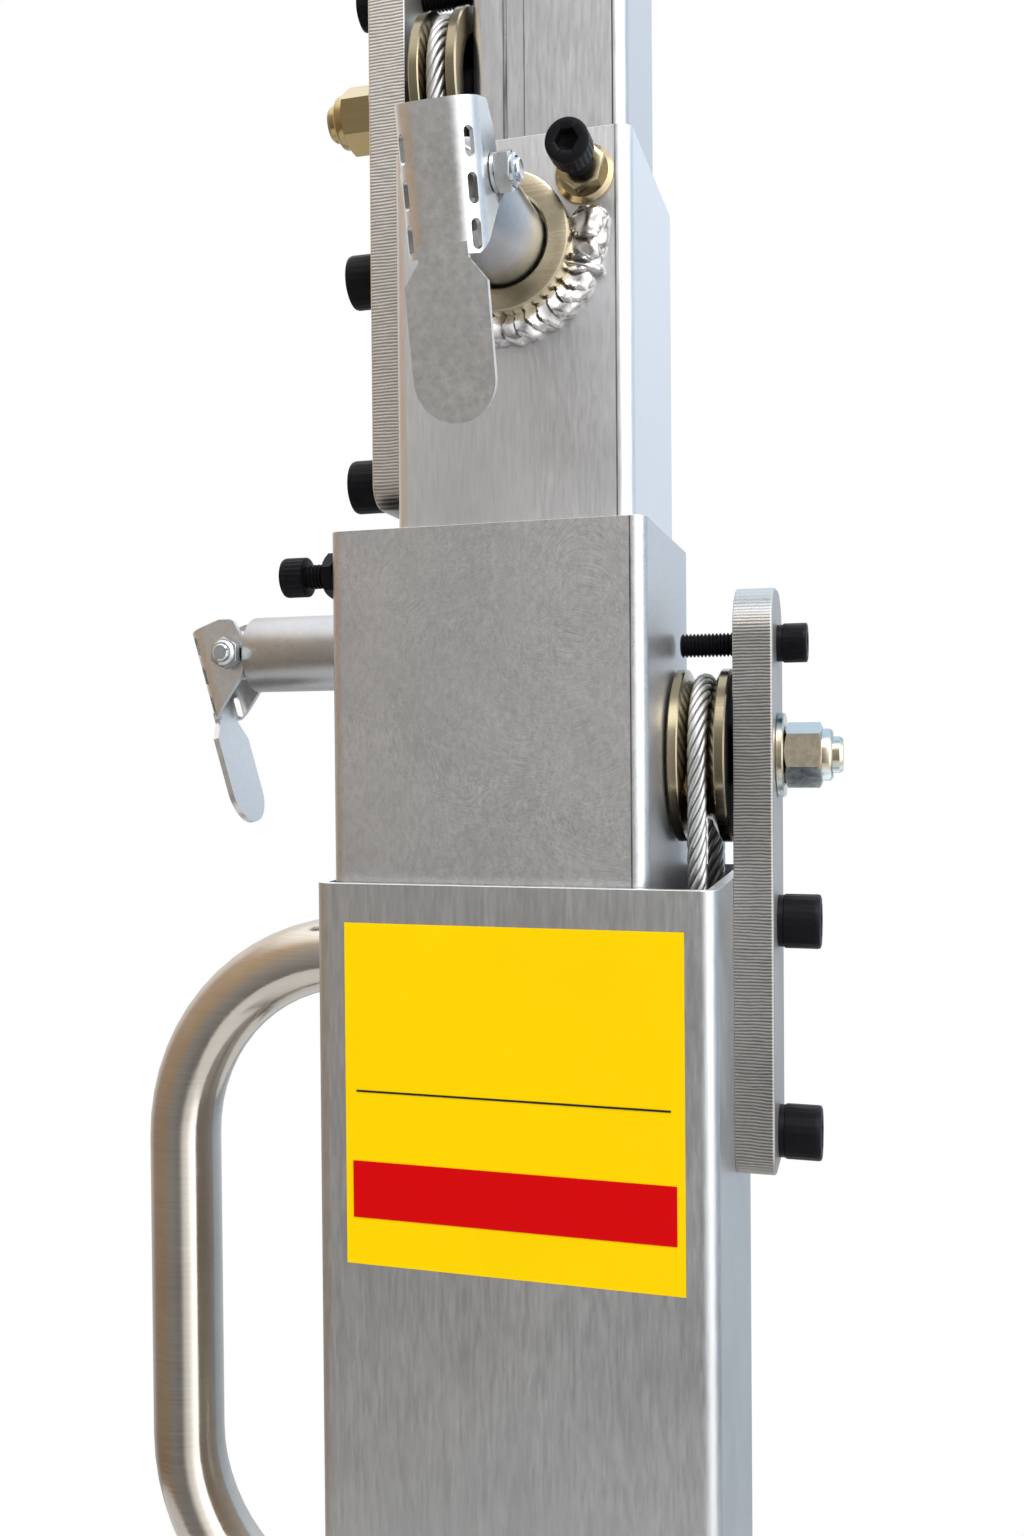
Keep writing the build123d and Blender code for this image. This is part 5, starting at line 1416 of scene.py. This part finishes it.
    def make_axle(self) -> None:
        """Washer and lock nut on the axle, with the nut's crown and the bolt's end."""
        seat = axes(self.on_plate(0.0), self.outward)
        axle = Builder()
        axle.lathe(seat, in_mm(self.axle_washer), SCREW_SIDES, closed=True)
        flats, height, lift = self.axle_nut
        axle.hexagon(raised(seat, lift, self.nut_turn), flats, height)
        axle.lathe(seat, in_mm(self.axle_crown), SCREW_SIDES)
        node = f"sheave_{self.number}_axle"
        dress(axle.piece(f"{node}_plated", self.zinc), self.body, "zinc_steel", node)

    def make_bolt(self) -> None:
        """Bolt and spacer that the sheave runs on, with the bolt's head in the sheave's recess, shown black as
        painted shade in the gap and the recess.
        """
        seat = axes(self.on_plate(0.0), self.outward)
        middle = abs(self.outer - self.centre.x)
        near = self.half - middle + self.bolt_play
        head = self.recess_depth - self.half - middle - self.bolt_play
        inner, outer = self.spacer
        wide, height, edge = self.bolt_head
        shank, far = self.bolt_radius, -self.thickness
        bolt = Builder()
        sleeve = [(inner, near), (outer, near), (outer, far), (inner, far)]
        bolt.lathe(seat, sleeve, BOLT_SIDES, closed=True)
        bolt.lathe(seat, [(0.0, head - height), (wide - edge, head - height),
                          (wide, head - (height - edge)), (wide, head), (shank, head), (shank, 0.0),
                          (0.0, 0.0)], BOLT_SIDES)
        # Black here is painted shade in the gap beside the plate and in the recess.
        dress(bolt.piece(f"sheave_{self.number}_bolt", BLACK), self.body, "zinc_steel")

    def make_sheave(self) -> None:
        """Two round flanges with polished rims about a rope groove, with a black painted-shade lining in the
        recess and on the side towards the plate.
        """
        node, half, flange, bore = f"sheave_{self.number}", self.half, self.flange, self.bore
        bends = [math.pi * k / self.groove_steps for k in range(self.groove_steps + 1)]
        bottom = [(self.pitch - self.groove * math.sin(a), self.groove * math.cos(a)) for a in bends]
        rim = [(flange + r, half + h) for r, h in in_mm(self.sheave_rim)]
        floor, wall = half - self.recess_depth, self.recess - self.recess_draft
        profile = [(bore, -half)] + [(r, -h) for r, h in reversed(rim)] + [(r, -h) for r, h in bottom]
        profile += rim + [(self.recess, half), (wall, floor), (bore, floor)]
        place = axes(self.centre, -self.outward)
        wheel = Builder()
        wheel.lathe(place, profile, SHEAVE_SIDES, closed=True)
        dress(wheel.piece(f"{node}_turned", OLIVE_ZINC, self.sheave_sharp), node, "sheave_steel", node)
        # Painted shade: thin black lining in the recess and on the side towards the plate.
        film, margin = self.painted_shade_film, flange - self.painted_shade_margin
        painted_shade_lining = Builder()
        painted_shade_lining.lathe(place, [(bore + film, floor), (wall - film, floor), (self.recess - film, half - film),
                             (self.recess - 3 * film, half - film), (wall - 3 * film, floor + film),
                             (bore + film, floor + film)], COLLAR_SIDES, closed=True)
        painted_shade_lining.lathe(place, [(bore + film, -half - film), (margin, -half - film), (margin, -half),
                             (bore + film, -half)], COLLAR_SIDES, closed=True)
        dress(painted_shade_lining.piece(f"{node}_grease", BLACK), node, "sheave_steel")


@dataclass(frozen=True)
class Bead:
    """A weld bead round a collar: where it starts, how far it goes, its distance, width and ripple."""
    start: float
    sweep: float
    reach: float
    width: float
    ripple: float


FULL_BEAD = (Bead(0.0, 360.0, 2.4 * MM, 9.0 * MM, 4.6 * MM),)
FRONT_BEADS = (Bead(8.0, -142.0, 2.8 * MM, 11.5 * MM, 4.0 * MM),
               Bead(25.0, -52.0, 3.4 * MM, 13.5 * MM, 7.0 * MM))


@dataclass
class PinLock:
    """Spring pin lock: collar, guide tube, pin with its bolt, and folded lever.

    Profiles are in millimetres: radius, and height over the lever's cheek.
    """
    number: int
    collar_finish: Metal
    beads: tuple[Bead, ...]
    collar: tuple[float, float, float] = (21.0 * MM, 14.2 * MM, 10.0 * MM)
    guide: tuple[float, float] = (13.45 * MM, 9.08 * MM)
    edge: float = 0.7 * MM
    bead_points: int = 90
    bead_lift: float = 0.4 * MM
    bead_wobble: float = 0.4 * MM
    pin_radius: float = 9.0 * MM
    pin_edge: float = 1.5 * MM
    ball_steps: int = 12
    lever_half: float = 11.6 * MM
    lever_edge: float = 0.35 * MM
    bolt_washer: Profile = ((3.1, 0.0), (4.9, 0.0), (4.9, 1.0), (3.1, 1.0))
    bolt_nut: tuple[float, float, float] = (9.8 * MM, 4.2 * MM, 1.0 * MM)
    bolt_nut_turn: float = 30.0
    bolt_end: Profile = ((0.0, 5.0), (4.4, 5.0), (4.4, 5.9), (3.6, 6.4), (3.0, 6.4), (3.0, 7.0), (2.5, 7.5),
                         (0.0, 7.5))
    bolt_head: Profile = ((0.0, 0.0), (4.8, 0.0), (4.8, 1.2), (3.9, 1.9), (0.0, 2.2))

    def __post_init__(self) -> None:
        """Find the lock's place in the frame."""
        self.outward = Vector(JOINTS[f"lock_{self.number}_pull"]["axis"])
        self.bolt = Vector(JOINTS[f"lock_{self.number}_flip"]["pos_m"])
        self.face = max(corner.dot(self.outward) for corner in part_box(f"mast_{self.number}_tube"))
        self.bolt_reach = self.bolt.dot(self.outward) - self.face
        self.wall = self.bolt - self.outward * self.bolt_reach
        self.cross = UP.cross(self.outward)
        self.body = f"mast_{self.number}"

    def build(self, tree: BeadTree) -> None:
        """Make the lock's pieces.

        Args:
            tree: the tree that lays the weld.
        """
        self.make_housing()
        self.make_beads(tree)
        self.make_pin()
        lever = f"lock_{self.number}_lever"
        soften(lever, f"{lever}_folded", ZINC, self.lever_edge)

    def sleeve(self, radius: float, bore: float, length: float, inner_edge: float) -> Builder:
        """Round sleeve on the wall, with its outer rim broken.

        Args:
            radius: its outer radius.
            bore: its inner radius.
            length: how far it stands out.
            inner_edge: width of the broken edge in its bore.

        Returns:
            The mesh.
        """
        edge = self.edge
        tube = Builder()
        profile = [(bore, 0.0), (radius, 0.0), (radius, length - edge),
                   (radius - 0.3 * edge, length - 0.3 * edge), (radius - edge, length),
                   (bore + inner_edge, length), (bore, length - inner_edge)]
        tube.lathe(axes(self.wall, self.outward), profile, COLLAR_SIDES, closed=True)
        return tube

    def make_housing(self) -> None:
        """Collar and guide tube."""
        node = f"lock_{self.number}_housing"
        collar = self.sleeve(*self.collar, self.edge)
        dress(collar.piece(f"lock_{self.number}_collar", self.collar_finish), self.body, "zinc_steel", node)
        length = max(corner.dot(self.outward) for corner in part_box(node)) - self.face
        guide = self.sleeve(*self.guide, length, 0.4 * self.edge)
        dress(guide.piece(f"lock_{self.number}_guide", GREY_ZINC), self.body, "zinc_steel")

    def make_beads(self, tree: BeadTree) -> None:
        """Weld beads on the wall beside the collar.

        Args:
            tree: the tree that lays them.
        """
        turn = axes(self.wall, self.outward, self.cross)
        waves = 7
        for k, bead in enumerate(self.beads):
            steps = range(self.bead_points + 1)
            bends = [math.radians(bead.start + bead.sweep * j / self.bead_points) for j in steps]
            rings = [self.collar[0] + bead.reach + self.bead_wobble * math.sin(waves * a) for a in bends]
            points = [turn @ Vector((r * math.cos(a), r * math.sin(a), self.bead_lift))
                      for r, a in zip(rings, bends)]
            weld(tree, points, f"lock_{self.number}_weld_{k + 1}", self.body, Width=bead.width,
                 Ripple=bead.ripple, Outward=tuple(self.outward), Seed=10.0 * self.number + k)

    def make_pin(self) -> None:
        """Pin, cross bolt head, lock nut and bolt end."""
        node = f"lock_{self.number}_pin"
        tip = max((corner - self.wall).dot(-self.outward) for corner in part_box(node))
        radius, edge = self.pin_radius, self.pin_edge
        bends = [math.pi / 2 * k / self.ball_steps for k in range(self.ball_steps + 1)]
        ball = [(radius * math.cos(a), self.bolt_reach + radius * math.sin(a)) for a in bends]
        profile = [(0.0, -tip), (radius - edge, -tip), (radius, -tip + edge), *ball]
        pin = Builder()
        pin.lathe(axes(self.wall, self.outward), profile, SCREW_SIDES)
        seat = axes(self.bolt + self.cross * self.lever_half, self.cross)
        pin.lathe(seat, in_mm(self.bolt_washer), BOLT_SIDES, closed=True)
        flats, height, lift = self.bolt_nut
        pin.hexagon(raised(seat, lift, self.bolt_nut_turn), flats, height)
        pin.lathe(seat, in_mm(self.bolt_end), BOLT_SIDES)
        head = axes(self.bolt - self.cross * self.lever_half, -self.cross)
        pin.lathe(head, in_mm(self.bolt_head), BOLT_SIDES)
        dress(pin.piece(f"{node}_plated", BLUE_ZINC), node, "zinc_steel", node)


@dataclass
class Adjuster:
    """Cap screw and nut near a tube's rim; the flange's profile is in millimetres."""
    number: int
    nut_finish: Metal
    flanged: bool
    head_radius: float = 6.5 * MM
    head_height: float = 8.0 * MM
    head_socket: float = 6.0 * MM
    head_knurl: float = 0.22 * MM
    thread: tuple[float, float] = (4.0 * MM, 1.25 * MM)
    flange: Profile = ((4.1, 0.0), (8.7, 0.0), (9.0, 0.3), (9.0, 1.0), (7.6, 2.2), (4.1, 2.2))
    nut_flats: float = 13.0 * MM
    nut_bore: float = 4.05 * MM
    nut_lift: float = 1.4 * MM
    nut_turn: float = 17.0
    flanged_height: float = 6.6 * MM
    plain_height: float = 4.0 * MM

    def build(self) -> None:
        """Make the screw and its nut."""
        node, body = f"adjuster_{self.number}", f"mast_{self.number}"
        outward = Vector(JOINTS[f"lock_{self.number}_pull"]["axis"])
        low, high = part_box(node)
        middle = (low + high) / 2
        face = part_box(f"{body}_tube")[1 if sum(outward) > 0 else 0]
        across = Vector(abs(part) for part in outward)
        wall = middle - across * middle.dot(across) + across * face.dot(across)
        seat = axes(wall, outward)
        depth = max((corner - wall).dot(-outward) for corner in (low, high))
        reach = max((corner - wall).dot(outward) for corner in (low, high))
        radius, pitch = self.thread
        screw = Builder()
        screw.cap_screw(raised(seat, reach - self.head_height), self.head_radius, self.head_height,
                        self.head_socket, self.head_knurl)
        screw.thread(raised(seat, -depth), radius, depth + reach - self.head_height, pitch)
        dress(screw.piece(f"{node}_screw", BLACK), body, "black_screws", node)
        nut = Builder()
        if self.flanged:
            nut.lathe(seat, in_mm(self.flange), SCREW_SIDES, closed=True)
        height = self.flanged_height if self.flanged else self.plain_height
        nut.hexagon(raised(seat, self.nut_lift, self.nut_turn), self.nut_flats, height, self.nut_bore)
        dress(nut.piece(f"{node}_flange_nut", self.nut_finish), body, "zinc_steel")


@dataclass
class CarryHandle:
    """Bent stainless handle with a weld round each end."""
    radius: float = 12.7 * MM
    bend: float = 69.5 * MM
    step: float = 20.0 * MM
    sides: int = 48
    weld_points: int = 60
    weld_share: float = 1.12
    weld_inset: float = 0.6 * MM
    weld_width: float = 6.0 * MM
    weld_ripple: float = 2.6 * MM
    weld_seed: float = 11.0

    def build(self, tree: BeadTree) -> None:
        """Make the handle and its welds.

        Args:
            tree: the tree that lays the weld.
        """
        low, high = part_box("carry_handle")
        y = (low.y + high.y) / 2
        grip = low.x + self.radius
        top, bottom = high.z - self.radius, low.z + self.radius
        path = BentPath((high.x, y, top), self.step).line((grip + self.bend, y, top))
        path.arc((grip + self.bend, y, top - self.bend), FRONT, 90).line((grip, y, bottom + self.bend))
        path.arc((grip + self.bend, y, bottom + self.bend), FRONT, 90).line((high.x, y, bottom))
        bar = Builder()
        bar.pipe(path.points, self.radius, self.sides)
        dress(bar.piece("carry_handle_bent", STAINLESS), "mast_1", "stainless", "carry_handle")
        angles = [FULL_TURN * k / self.weld_points for k in range(self.weld_points + 1)]
        ring, wall = self.weld_share * self.radius, high.x - self.weld_inset
        for name, z in (("upper", top), ("lower", bottom)):
            points = [Vector((wall, y + ring * math.cos(a), z + ring * math.sin(a))) for a in angles]
            weld(tree, points, f"handle_weld_{name}", "mast_1", Width=self.weld_width,
                 Ripple=self.weld_ripple, Outward=LEFT, Seed=self.weld_seed)


@dataclass
class Winch:
    """Hand winch on the back of the outer tube."""
    grip_bore: float = 6.05 * MM
    grip_radius: float = 13.0 * MM
    grip_swell: float = 1.8 * MM
    grip_rib: float = 0.35 * MM
    grip_steps: int = 60
    ribbed: Span = (0.15, 0.85)
    rib_waves: int = 10
    frame_wall: float = 5.0 * MM
    bolt_inset: float = 16 * MM
    bolt_rises: tuple[float, float] = (14 * MM, 92 * MM)
    bolt_flats: float = 13.0 * MM
    bolt_height: float = 5.3 * MM

    def build(self, tree: FastenerTree) -> None:
        """Dress the winch's pieces and bolt its frame down.

        Args:
            tree: the tree that sets the bolts.
        """
        worked = (("winch_frame", "folded", PAINT, 0.8), ("winch_cover", "pressed", PAINT, 0.8),
                  ("winch_drum", "plated", ZINC, 0.5), ("winch_crank", "plated", BLUE_ZINC, 0.6),
                  ("rope_guide", "turned", NYLON, 0.5))
        for node, how, finish, edge in worked:
            soften(node, f"{node}_{how}", finish, edge * MM)
        self.make_grip()
        self.make_bolts(tree)

    def make_grip(self) -> None:
        """Ribbed plastic grip."""
        low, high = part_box("winch_grip")
        middle, length = (low + high) / 2, high.x - low.x
        first, last = self.ribbed
        profile = [(self.grip_bore, 0.0)]
        for k in range(self.grip_steps + 1):
            share = k / self.grip_steps
            swell = self.grip_radius + self.grip_swell * math.sin(math.pi * share)
            wave = math.sin(2 * self.rib_waves * math.pi * share) if first < share < last else 0.0
            profile.append((swell - self.grip_rib + self.grip_rib * wave, length * share))
        profile.append((self.grip_bore, length))
        grip = Builder()
        grip.lathe(axes((low.x, middle.y, middle.z), RIGHT), profile, BOLT_SIDES, closed=True)
        dress(grip.piece("winch_grip_ribbed", PLASTIC), "winch_grip", "black_plastic", "winch_grip")

    def make_bolts(self, tree: FastenerTree) -> None:
        """Four bolts through the frame into the tube.

        Args:
            tree: the tree that sets them.
        """
        low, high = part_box("winch_frame")
        columns = (low.x + self.bolt_inset, high.x - self.bolt_inset)
        seat = low.y + self.frame_wall
        points = [Vector((x, seat, low.z + rise)) for x in columns for rise in self.bolt_rises]
        pattern = Builder()
        pattern.hexagon(IN_PLACE, self.bolt_flats, self.bolt_height)
        bolts = fasteners(tree, pattern.piece("frame_bolt", BLUE_ZINC), points, BACK, "winch_frame_bolts",
                          BLUE_ZINC)
        dress(bolts, "mast_1", "zinc_steel")


@dataclass
class Base:
    """Base weldment, legs, screw jacks, knobs and wheels; the wheels' own sizes are in millimetres."""
    sides: tuple[str, ...] = ("right", "back", "left", "front")
    paint_edge: float = 0.8 * MM
    jack_edge: float = 0.5 * MM
    thread_low: float = 126.0 * MM
    thread_high: float = 246.0 * MM
    thread_radius: float = 10.03 * MM
    thread_pitch: float = 4.0 * MM
    tyre_seat: float = 44.0
    tyre_edge: float = 47.0
    tyre_wall: float = 8.0
    tyre_crown: float = 4.8
    crown_steps: int = 8
    tyre_inset: float = 1.0
    hub_bore: float = 6.05
    hub_dish: Profile = ((19.0, 0.0), (20.0, 1.0), (22.0, 4.0), (41.0, 4.0))

    def build(self) -> None:
        """Dress the base."""
        soften("base_frame", "base_frame_painted", PAINT, self.paint_edge)
        soften("leg_knobs", "leg_knobs_moulded", PLASTIC, self.paint_edge)
        for side in self.sides:
            soften(f"leg_{side}", f"leg_{side}_painted", PAINT, self.paint_edge)
            soften(f"jack_{side}", f"jack_{side}_plated", ZINC, self.jack_edge)
            low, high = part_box(f"jack_{side}")
            middle = (low + high) / 2
            screw = Builder()
            screw.thread(axes((middle.x, middle.y, self.thread_low), UP), self.thread_radius,
                         self.thread_high - self.thread_low, self.thread_pitch)
            dress(screw.piece(f"jack_{side}_thread", STEEL), f"jack_{side}", "jack_zinc")
        for side in ("left", "right"):
            self.make_wheel(side)

    def make_wheel(self, side: str) -> None:
        """Solid rubber tyre with a plain hub.

        Args:
            side: the side that the wheel is on.
        """
        node = f"wheel_{side}"
        low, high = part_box(node)
        half, radius = (high.x - low.x) / 2 / MM, (high.z - low.z) / 2 / MM
        place = axes((low + high) / 2, RIGHT)
        levels = [half * (k / self.crown_steps - 1) for k in range(1, 2 * self.crown_steps)]
        crown = [(radius - self.tyre_crown * (abs(h) / half) ** 3, h) for h in levels]
        seat = (self.tyre_seat, self.tyre_inset - half)
        wall = [seat, (self.tyre_edge, -half), (radius - self.tyre_wall, -half)]
        dish = [(self.hub_bore, -half), *((r, h - half) for r, h in self.hub_dish), seat]
        tyre, hub = Builder(), Builder()
        rubber = wall + crown + [(r, -h) for r, h in reversed(wall)]
        tyre.lathe(place, in_mm(rubber), COLLAR_SIDES, closed=True)
        dress(tyre.piece(f"{node}_tyre", RUBBER), node, "wheel_rubber", node)
        hub.lathe(place, in_mm(dish + [(r, -h) for r, h in reversed(dish)]), COLLAR_SIDES, closed=True)
        dress(hub.piece(f"{node}_hub", ZINC), node, "jack_zinc")


@dataclass
class InnerPieces:
    """Pads, sheaves, axles and brackets that sit inside the tubes."""

    def build(self) -> None:
        """Give them their finishes."""
        paint(NYLON, "guide_pads_2", "guide_pads_3", "guide_pads_4")
        paint(OLIVE_ZINC, "sheave_2", "foot_sheave_2", "foot_sheave_3")
        paint(STEEL, "sheave_2_axle", "foot_2_axle")
        paint(ZINC, "foot_3_bracket", "rope_anchor")


@dataclass
class Studio:
    """Camera at the photograph's view, pale floor and soft light.

    The sky gives a colour for each bearing in degrees: -90 in front, 0 on the right, 90 behind.
    """
    image_height: float = 1536.0
    focal: float = 1328.44
    sensor: float = 36.0
    nearest: float = 0.01
    place: tuple[float, float, float] = (0.11183, -0.43345, 1.44177)
    yaw: float = 15.88
    pitch: float = 0.827
    roll: float = 0.467
    floor_radius: float = 1.9
    floor_rim: float = 12.0 * MM
    floor_sides: int = 180
    sky: tuple[tuple[float, Colour], ...] = (
        (-180.0, (0.50, 0.395, 0.315)), (-141.0, (0.51, 0.39, 0.27)), (-112.0, (0.42, 0.415, 0.41)),
        (-86.0, (0.345, 0.345, 0.345)), (-65.0, (1.4, 1.41, 1.43)), (-38.0, (3.0, 3.05, 3.1)),
        (-14.0, (2.6, 2.65, 2.7)), (5.0, (0.8, 0.88, 0.96)), (24.0, (0.53, 0.67, 0.83)),
        (95.0, (0.83, 0.9, 0.98)), (150.0, (0.8, 0.75, 0.7)), (180.0, (0.50, 0.395, 0.315)))
    zenith: Colour = (1.7, 1.72, 1.75)
    zenith_span: Span = (0.5, 0.85)
    sky_top: float = 3.1
    sky_slope: float = 0.75
    lamp_place: tuple[float, float, float] = (0.9, -1.7, 4.0)
    lamp_aim: tuple[float, float, float] = (0.0, 0.0, 1.3)
    lamp_size: float = 1.8
    lamp_watts: float = 60.0

    def build(self) -> None:
        """Set the camera, the floor and the lights."""
        bpy.context.scene.view_settings.view_transform = "Standard"
        self.make_camera()
        self.make_floor()
        self.make_sky()
        self.make_lamp()

    def make_camera(self) -> None:
        """Camera with the photograph's place, turn and angle of view."""
        yaw, pitch, roll = (math.radians(angle) for angle in (self.yaw, self.pitch, self.roll))
        level = math.cos(pitch)
        ahead = Vector((-math.sin(yaw) * level, math.cos(yaw) * level, -math.sin(pitch)))
        right = Vector((math.cos(yaw), math.sin(yaw), 0.0))
        down = ahead.cross(right)
        across = right * math.cos(roll) + down * math.sin(roll)
        fall = down * math.cos(roll) - right * math.sin(roll)
        data = bpy.data.cameras.new("photo_camera")
        data.sensor_width = self.sensor
        data.lens = self.focal * self.sensor / self.image_height
        data.clip_start = self.nearest
        camera = bpy.data.objects.new("photo_camera", data)
        turn = Matrix((across, -fall, -ahead)).transposed().to_4x4()
        camera.matrix_world = Matrix.Translation(self.place) @ turn
        bpy.context.scene.collection.objects.link(camera)
        bpy.context.scene.camera = camera

    def make_floor(self) -> None:
        """Round pale floor under the base."""
        disc = Builder()
        rim, radius = self.floor_rim, self.floor_radius
        disc.lathe(IN_PLACE, [(0.0, -rim), (radius - rim, -rim), (radius, -rim / 2), (radius - rim, 0.0),
                              (0.0, 0.0)], self.floor_sides)
        disc.piece("floor", FLOOR)

    def shade(self, colour: Colour) -> tuple[float, float, float, float]:
        """A sky colour as a share of the brightest."""
        return (*(part / self.sky_top for part in colour), 1.0)

    def make_sky(self) -> None:
        """Light from all round: white right of the front, grey in front, warm left, blue behind."""
        world = bpy.data.worlds.new("studio")
        bpy.context.scene.world = world
        world.use_nodes = True
        sky = Wiring(world.node_tree)
        direction = sky.add("ShaderNodeTexCoord").outputs["Generated"]
        around = sky.add("ShaderNodeTexGradient", {"Vector": direction}, gradient_type="RADIAL")
        ramp = sky.add("ShaderNodeValToRGB", {"Fac": around.outputs["Fac"]})
        ramp.color_ramp.interpolation = "EASE"
        while len(ramp.color_ramp.elements) < len(self.sky):
            ramp.color_ramp.elements.new(0.5)
        for element, (bearing, colour) in zip(ramp.color_ramp.elements, self.sky):
            element.position = bearing / 360 + 0.5
            element.color = self.shade(colour)
        height = sky.add("ShaderNodeSeparateXYZ", {0: direction}).outputs["Z"]
        gain = sky.maths("MULTIPLY_ADD", height, self.sky_top * self.sky_slope, self.sky_top)
        sides = world.node_tree.nodes["Background"]
        sky.feed(sides.inputs["Color"], ramp.outputs["Color"])
        sky.feed(sides.inputs["Strength"], gain)
        above = sky.add("ShaderNodeBackground", {"Color": self.shade(self.zenith),
                                                 "Strength": self.sky_top})
        low, high = self.zenith_span
        rise = sky.add("ShaderNodeMapRange", {"Value": height, "From Min": low, "From Max": high},
                       interpolation_type="SMOOTHSTEP")
        light = sky.add("ShaderNodeMixShader", {0: rise.outputs[0], 1: sides.outputs[0],
                                                2: above.outputs[0]})
        plain = sky.add("ShaderNodeBackground", {"Color": (1.0, 1.0, 1.0, 1.0)})
        seen = sky.add("ShaderNodeLightPath").outputs["Is Camera Ray"]
        shown = sky.add("ShaderNodeMixShader", {0: seen, 1: light.outputs[0], 2: plain.outputs[0]})
        sky.feed(world.node_tree.nodes["World Output"].inputs["Surface"], shown.outputs[0])

    def make_lamp(self) -> None:
        """Square soft lamp above the front."""
        data = bpy.data.lights.new("key_light", "AREA")
        data.size = self.lamp_size
        data.energy = self.lamp_watts
        lamp = bpy.data.objects.new("key_light", data)
        lamp.matrix_world = axes(self.lamp_place, Vector(self.lamp_place) - Vector(self.lamp_aim))
        bpy.context.scene.collection.objects.link(lamp)


def main() -> None:
    """Build the tower's looks and the studio."""
    logging.basicConfig(level=logging.INFO, format="%(name)s: %(message)s")
    beads, heads = BeadTree(), FastenerTree()
    Studio().build()
    MastTubes().build()
    WireRope().build()
    for head in (PulleyHead(1, WARM_ZINC, DARK_BAR, 20.5), PulleyHead(3, YELLOW_ZINC, PALE_BAR, 16.0)):
        head.build(heads)
    for lock in (PinLock(1, COLLAR_ZINC, FULL_BEAD), PinLock(2, ZINC, FULL_BEAD),
                 PinLock(3, COLLAR_ZINC, FRONT_BEADS)):
        lock.build(beads)
    for adjuster in (Adjuster(1, GOLD_ZINC, True), Adjuster(2, BLACK, False), Adjuster(3, GOLD_ZINC, True)):
        adjuster.build()
    CarryHandle().build(beads)
    Winch().build(heads)
    Base().build()
    InnerPieces().build()


if __name__ == "__main__":
    main()
